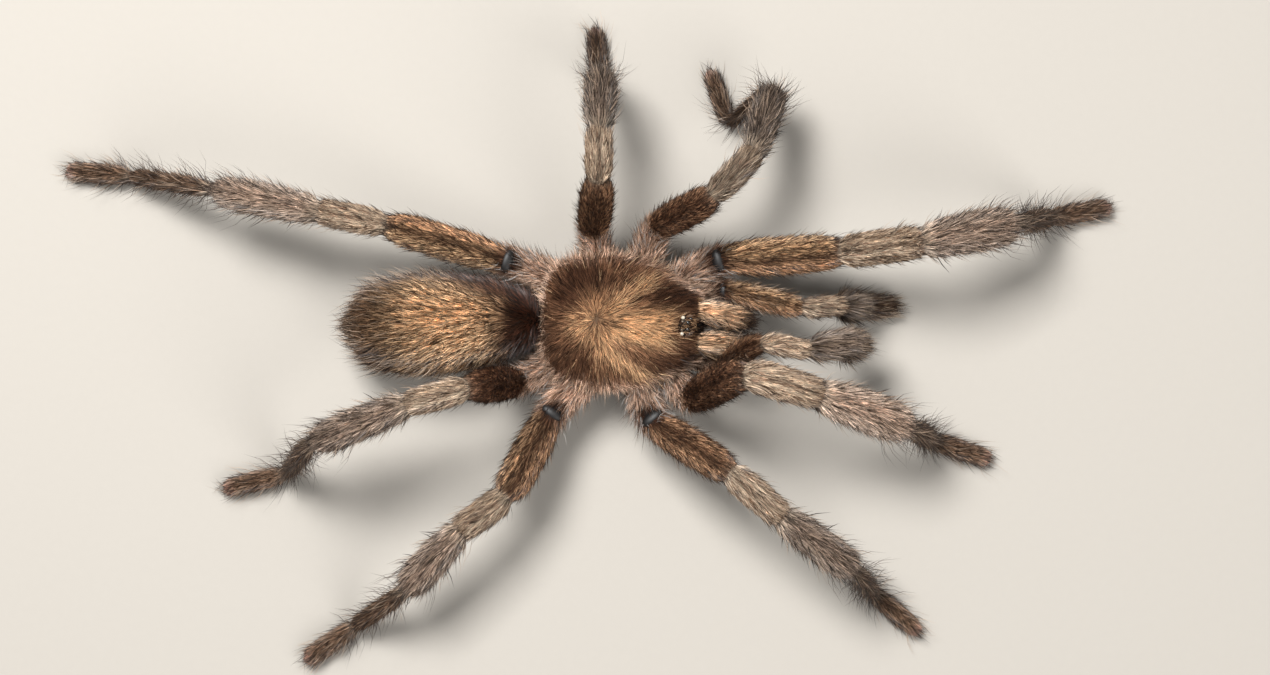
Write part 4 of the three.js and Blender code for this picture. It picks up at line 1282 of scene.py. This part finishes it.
def mound_roots(count):
    """Roots of the few hairs that stand between the eyes: even over the mound's dome, clear of each lens."""
    lean, spin = np.arccos(random.uniform(-0.1, 1, count)), random.uniform(-np.pi, np.pi, count)
    ball_out = np.stack([np.sin(lean) * np.cos(spin), np.sin(lean) * np.sin(spin), np.cos(lean)], 1)
    at = MOUND_CENTRE + (ball_out * MOUND_RADII) @ fore_axes
    out = unit((ball_out / MOUND_RADII) @ fore_axes)
    clear = np.ones(count, bool)
    for name in LENS_NODES:
        middle, radius = node_ball(name)
        clear &= np.linalg.norm(at - (middle - OFFSET), axis=1) > 1.24 * radius
    at, out = at[clear], out[clear]
    onward = fore_axes[0] + [0, 0, 0.1]
    lie = unit(onward - out * (out @ onward)[:, None])
    # On the map they lie at the head end of the shield's strip.
    on_map = dict(form=np.zeros(len(at), int), place=np.full(len(at), 0.93), turn=0.1 * at[:, 1])
    return dict(at=at, out=out, lie=lie, **on_map)


golden = (kind == "shield") * (np.clip(ray, 0, 1) + 0.5 * band + 0.04) * step(fovea_distance, 1.6, 1.2)
jaw_ends = 0.25 + np.clip(place - 0.8, 0, 1)
front_body_sets = [
    bristles(sow(["shield"], 420, brow), 1.3, 16, 0.05, RAY_GOLD * 0.8),
    bristles(sow(["shield"], 110, before_eyes), 2.1, 24, 0.075, SPINE),
    bristles(sow(["shield"], 60, before_eyes), 1.7, 20, 0.06, PALE_HAIR),
    bristles(mound_roots(420), 0.5, 24, 0.045, DEEP_BROWN),
    bristles(mound_roots(160), 0.6, 26, 0.045, RAY_GOLD * 0.7),
    bristles(sow(BODY, 1300, fringe), 1.9, 32, 0.05, PALE_HAIR),
    bristles(sow(["shield"], 700), 1.2, 18, 0.045, DARK_HAIR),
    bristles(sow(["shield"], 500, golden), 1.9, 9, 0.05, BRIGHT_GOLD),
    bristles(sow(["jaw_left", "jaw_right"], 700, jaw_ends), 1.9, 26, 0.06, DARK_HAIR),
]
bristle_piece("bristles_front_body", BODY, front_body_sets)

# %% [markdown]
# ## Bristles of the limbs
# Legs are hairier outwards: pale bristles begin at the knee, and the longest dark ones stand on the
# outer segments. The shins carry a few stout spines, as on most ground tarantulas.

# %% Bristles of the limbs
def limb_bristles(names):
    """Dark bristles all over but few on the knees, pale ones from the knee out, long dark ones on the
    outer segments, grey ones at the hips, and stout spines on the shins."""
    on = np.isin(FORM_NAMES[which], names).astype(float)
    most = on * step(place, 1.1, 0.1) * (1 - 0.65 * window(place, 2.1, 2.85, 0.1))
    outer = on * window(place, 3.7, 5.2, 0.5) * (0.3 + side_out)
    hips = on * (1 - step(place, 1.1, 0.2))
    spines = on * window(place, 3.15, 4.7, 0.1) * (0.2 + side_out)
    return [
        bristles(sow(names, 2300, most), 1.6, 20, 0.055, DARK_HAIR),
        bristles(sow(names, 500, on * step(place, 2.6, 0.6)), 2.1, 36, 0.045, PALE_HAIR),
        bristles(sow(names, 460, outer), 3.0, 44, 0.045, DARK_HAIR),
        bristles(sow(names, 420, hips), 1.8, 42, 0.05, GREY_HAIR),
        bristles(sow(names, 26, spines), 1.9, 48, 0.11, SPINE, bend=0.85),
    ]


for side in ("left", "right"):
    for part, pairs in (("front", (1, 2)), ("rear", (3, 4))):
        names = [f"leg_{side}_{pair}" for pair in pairs]
        bristle_piece(f"bristles_legs_{side}_{part}", names, limb_bristles(names))
palps = ["palp_left", "palp_right"]
on = (kind == "palp").astype(float)
palm = on * step(place, 3.0, 0.3) * (0.5 + side_out)
palp_sets = [
    bristles(sow(palps, 900, on * step(place, 1.1, 0.1)), 1.6, 26, 0.05, DARK_HAIR),
    bristles(sow(palps, 1500, palm), 1.9, None, 0.05, SILKY * 0.7, bend=0.9),
    bristles(sow(palps, 1100, palm), 2.0, None, 0.055, DARK_HAIR, bend=0.9),
    bristles(sow(palps, 300, on * (1 - step(place, 1.8, 0.4))), 1.5, 40, 0.05, PALE_HAIR),
]
bristle_piece("bristles_palps", palps, palp_sets)

# %% [markdown]
# ## Eyes on their mound
# Eight eyes sit close together on a small black mound behind the jaws. Each lens is a clear dome over a
# dark pit, so the front four look like drops of black glass. The rear outer ones are milky, a pale colour
# that also stands in as a painted reflection, and the rear inner ones a dull amber. They are made as fine
# spheres of rings, sunk into the mound as deep as the solids are.

# %% Eyes on their mound
def noise_material(name, colour, roughness, coat, scale, contrast, ior):
    """A finish whose colour varies by the contrast with a noise of `scale` mm. coat is a clear layer."""
    material, tree, shader = new_material(name)
    where = add_node(tree, "ShaderNodeTexCoord")
    noise = add_node(
        tree, "ShaderNodeTexNoise", {"Vector": where.outputs["Object"]}, Scale=1 / (scale * MM), Detail=3.0,
    )
    ramp = add_node(tree, "ShaderNodeValToRGB", {"Fac": noise.outputs["Fac"]})
    for element, sign in zip(ramp.color_ramp.elements, (-1, 1)):
        element.color = (*np.clip(colour * (1 + sign * contrast), 0, 1), 1)
    fine = {"Height": noise.outputs["Fac"]}
    bump = add_node(tree, "ShaderNodeBump", fine, Strength=0.25, Distance=0.02 * MM)
    tree.links.new(ramp.outputs["Color"], shader.inputs["Base Color"])
    tree.links.new(bump.outputs["Normal"], shader.inputs["Normal"])
    shader.inputs["Roughness"].default_value = roughness
    shader.inputs["IOR"].default_value = ior
    shader.inputs["Coat Weight"].default_value = coat
    shader.inputs["Coat Roughness"].default_value = 0.04
    return material


# Each finish: name, colour, roughness, clear coat, grain in mm, contrast and IOR.
# Eye lenses: glossy clear cuticle over a black pit, over a bright layer whose paleness is partly a
# painted reflection, and over a dull amber one.
dark_lens = noise_material("dark_eye_lens", srgb("#0b0908"), 0.12, 1.0, 0.3, 0.3, 1.45)
milky_glinting_lens = noise_material("milky_glinting_eye_lens", srgb("#d8ccb8"), 0.16, 1.0, 0.3, 0.12, 1.45)
amber_lens = noise_material("amber_eye_lens", srgb("#6b5d4e"), 0.14, 1.0, 0.3, 0.2, 1.45)
# Bare cuticle: hard and nearly black. It is dull on the mound and the hip plates, where it is finely
# grained, and shines on the fangs and claws, where it is worn smooth.
mound_cuticle = noise_material("mound_cuticle", srgb("#120d0b"), 0.62, 0.0, 0.15, 0.5, 1.35)
plate_cuticle = noise_material("bare_hip_cuticle", srgb("#171413"), 0.5, 0.0, 0.35, 0.45, 1.5)
fang_cuticle = noise_material("fang_cuticle", srgb("#1c0f0c"), 0.2, 0.6, 0.6, 0.4, CUTICLE_IOR)


def ball(centre, radii, axes=np.eye(3), rings=24, sides=32):
    """An ellipsoid: rings by latitude, radii along the three axes, the last of which holds the poles."""
    lat, lon = np.pi * np.arange(1, rings) / rings, 2 * np.pi * np.arange(sides) / sides
    lat, lon = np.meshgrid(lat, lon, indexing="ij")
    local = np.stack([np.sin(lat) * np.cos(lon), np.sin(lat) * np.sin(lon), -np.cos(lat)], -1).reshape(-1, 3)
    local = np.concatenate([local, [[0, 0, -1], [0, 0, 1]]]) * radii
    walls, start, end = tube_faces(rings - 1, sides)
    return centre + local @ axes, (walls[:, ::-1], start[:, ::-1], end[:, ::-1])


def solid_piece(name, points, faces, material, slot):
    """A piece from points in millimetres and their faces."""
    return new_piece(name, make_mesh(name, to_frame(points), *faces), material)


mound = solid_piece("eye_mound_dome", *ball(MOUND_CENTRE, MOUND_RADII, fore_axes), mound_cuticle, "eye_mound")
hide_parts("eye_mound")
for name in LENS_NODES:
    middle, radius = node_ball(name)
    glass = milky_glinting_lens if "posterior_lateral" in name else amber_lens if "posterior" in name else dark_lens
    slot = "pale_eye" if "posterior" in name else "dark_eye"
    lens = solid_piece(f"lens_{name[4:]}", *ball(middle - OFFSET, radius, rings=20, sides=28), glass, slot)
    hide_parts(name)
print("eyes", len(LENS_NODES))

# %% [markdown]
# ## Hip plates, fangs and claws
# On five limbs, a bare bulge of dark cuticle shows at the top of the femur's base, where the hip bends.
# The fangs fold back under the jaws, and each foot ends in two small claws.

# %% Hip plates, fangs and claws
PLATE_RADII, PLATE_SINK = np.array([0.66, 1.2, 0.46]), 0.36
for form, row, hinge, size in plates:
    along, up = form["tangent"][row], form["up"][row]
    axes = np.stack([along, np.cross(up, along), up])
    name = form["name"].replace("leg", "plate").replace("palp", "plate_palp")
    dome = ball(hinge - up * PLATE_SINK, PLATE_RADII * size, axes, 16, 24)
    solid_piece(name, *dome, plate_cuticle, "fang")


def horn(joints, thick, sides=16, rings=20):
    """A curved cone through three points: a quadratic Bezier path, its radius falling to a point."""
    t = np.linspace(0, 1, rings)[:, None]
    a, b, c = np.array(joints)
    centre = (1 - t) ** 2 * a + 2 * t * (1 - t) * b + t**2 * c
    tangent = unit((1 - t) * (b - a) + t * (c - b))
    right = unit(np.cross(tangent, np.cross(c - a, b - a)[None]))
    radius = thick * (1 - t) ** 0.7 * np.sqrt(np.clip(t * 12, 0, 1)) + 0.01
    turn = 2 * np.pi * np.arange(sides) / sides
    up = np.cross(right, tangent)
    ring = right[:, None] * np.sin(turn)[None, :, None] + up[:, None] * np.cos(turn)[None, :, None]
    points = centre[:, None] + ring * radius[..., None]
    return np.concatenate([points.reshape(-1, 3), centre[[0, -1]]]), tube_faces(rings, sides)


for jaw in JAWS:
    stops = [(4.65, 0.1, 4.7), (4.6, 0.2, 1.5), (1.1, 0.3, 3.1)]
    joints = [jaw_spot(jaw, forward, inward, height - jaw["droop"]) for forward, inward, height in stops]
    fang = solid_piece(f"fang_{jaw['side']}_tooth", *horn(joints, 0.52), fang_cuticle, "fang")
    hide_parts(f"fang_{jaw['side']}")
claw_points, claw_faces, count = [], [], 0
for form in FORMS:
    if form.get("limb") and form["pair"]:
        tip, way, right = form["centre"][-1], form["tangent"][-1], form["across"][-1]
        for toward in (-0.22, 0.22):
            start = tip - way * 0.25 + right * toward + [0, 0, 0.2]
            bend, end = start + way * 0.45 + [0, 0, 0.12], start + way * 0.62 - [0, 0, 0.3]
            points, faces = horn([start, bend, end], 0.09, 8, 8)
            claw_points.append(points)
            claw_faces += [part + count for part in faces]
            count += len(points)
solid_piece("claws", np.concatenate(claw_points), claw_faces, fang_cuticle, "fang")
print("claws", len(claw_points))

# %% [markdown]
# ## Floor, light and camera
# The animal stands on a plain pale floor. One large soft light comes from above and a weaker one
# fills the other side. The camera looks straight down from 42 cm with a long lens, chosen so that the
# frame is 127 mm wide at the height of the back.

# %% Floor, light and camera
# Studio paper: matt and pale, with a faint even grain.
floor_material = noise_material("pale_floor_paper", srgb("#bbb5ac"), 0.85, 0.0, 0.8, 0.015, 1.5)
grid = np.array([[-1, -1, 0], [1, -1, 0], [1, 1, 0], [-1, 1, 0]], float) * 0.6
floor = bpy.data.objects.new("floor", make_mesh("floor", grid, np.array([[0, 1, 2, 3]])))
floor.data.materials.append(floor_material)
bpy.context.collection.objects.link(floor)
floor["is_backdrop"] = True


def soft_light(name, place, size, watts):
    """A square area light that faces the animal: it leans by atan(distance aside / height)."""
    lamp = bpy.data.lights.new(name, "AREA")
    lamp.size, lamp.energy = size, watts
    light = bpy.data.objects.new(name, lamp)
    light.location = place
    x, y, z = place
    light.rotation_euler = (np.arctan2(np.hypot(x, y), z), 0, np.arctan2(-x, y) + np.pi)
    bpy.context.collection.objects.link(light)


soft_light("key_light", (-0.10, 0.16, 0.34), 0.14, 2.1)
soft_light("fill_light", (0.22, -0.20, 0.30), 0.25, 0.8)
world = bpy.data.worlds.new("studio")
world.use_nodes = True
world.node_tree.nodes["Background"].inputs["Color"].default_value = (1, 1, 1, 1)
world.node_tree.nodes["Background"].inputs["Strength"].default_value = 0.22
bpy.context.scene.world = world
bpy.context.scene.view_settings.view_transform = "Standard"

CAMERA_PLACE, BACK_HEIGHT, VIEW_WIDTH, SENSOR = (1.5, -1.55, 420.0), 8.0, 127.0, 36.0
optics = bpy.data.cameras.new("camera")
optics.sensor_width, optics.lens = SENSOR, SENSOR * (CAMERA_PLACE[2] - BACK_HEIGHT) / VIEW_WIDTH
camera = bpy.data.objects.new("camera", optics)
camera.location = to_frame(np.array(CAMERA_PLACE))
bpy.context.collection.objects.link(camera)
bpy.context.scene.camera = camera
print("lens", round(optics.lens, 1), "mm")

# %% [markdown]
# ## Size
# Coat and skin have to stay near the solids. The box of the solids and that of the finished animal are
# kept side by side, so that their sizes can be compared.

# %% Size
visual_box = [list(map(float, corner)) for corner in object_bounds()]
for label, box in (("CAD box in mm", cad_box), ("finished box in mm", visual_box)):
    print(label, np.round(np.array(box) / MM, 2).tolist())
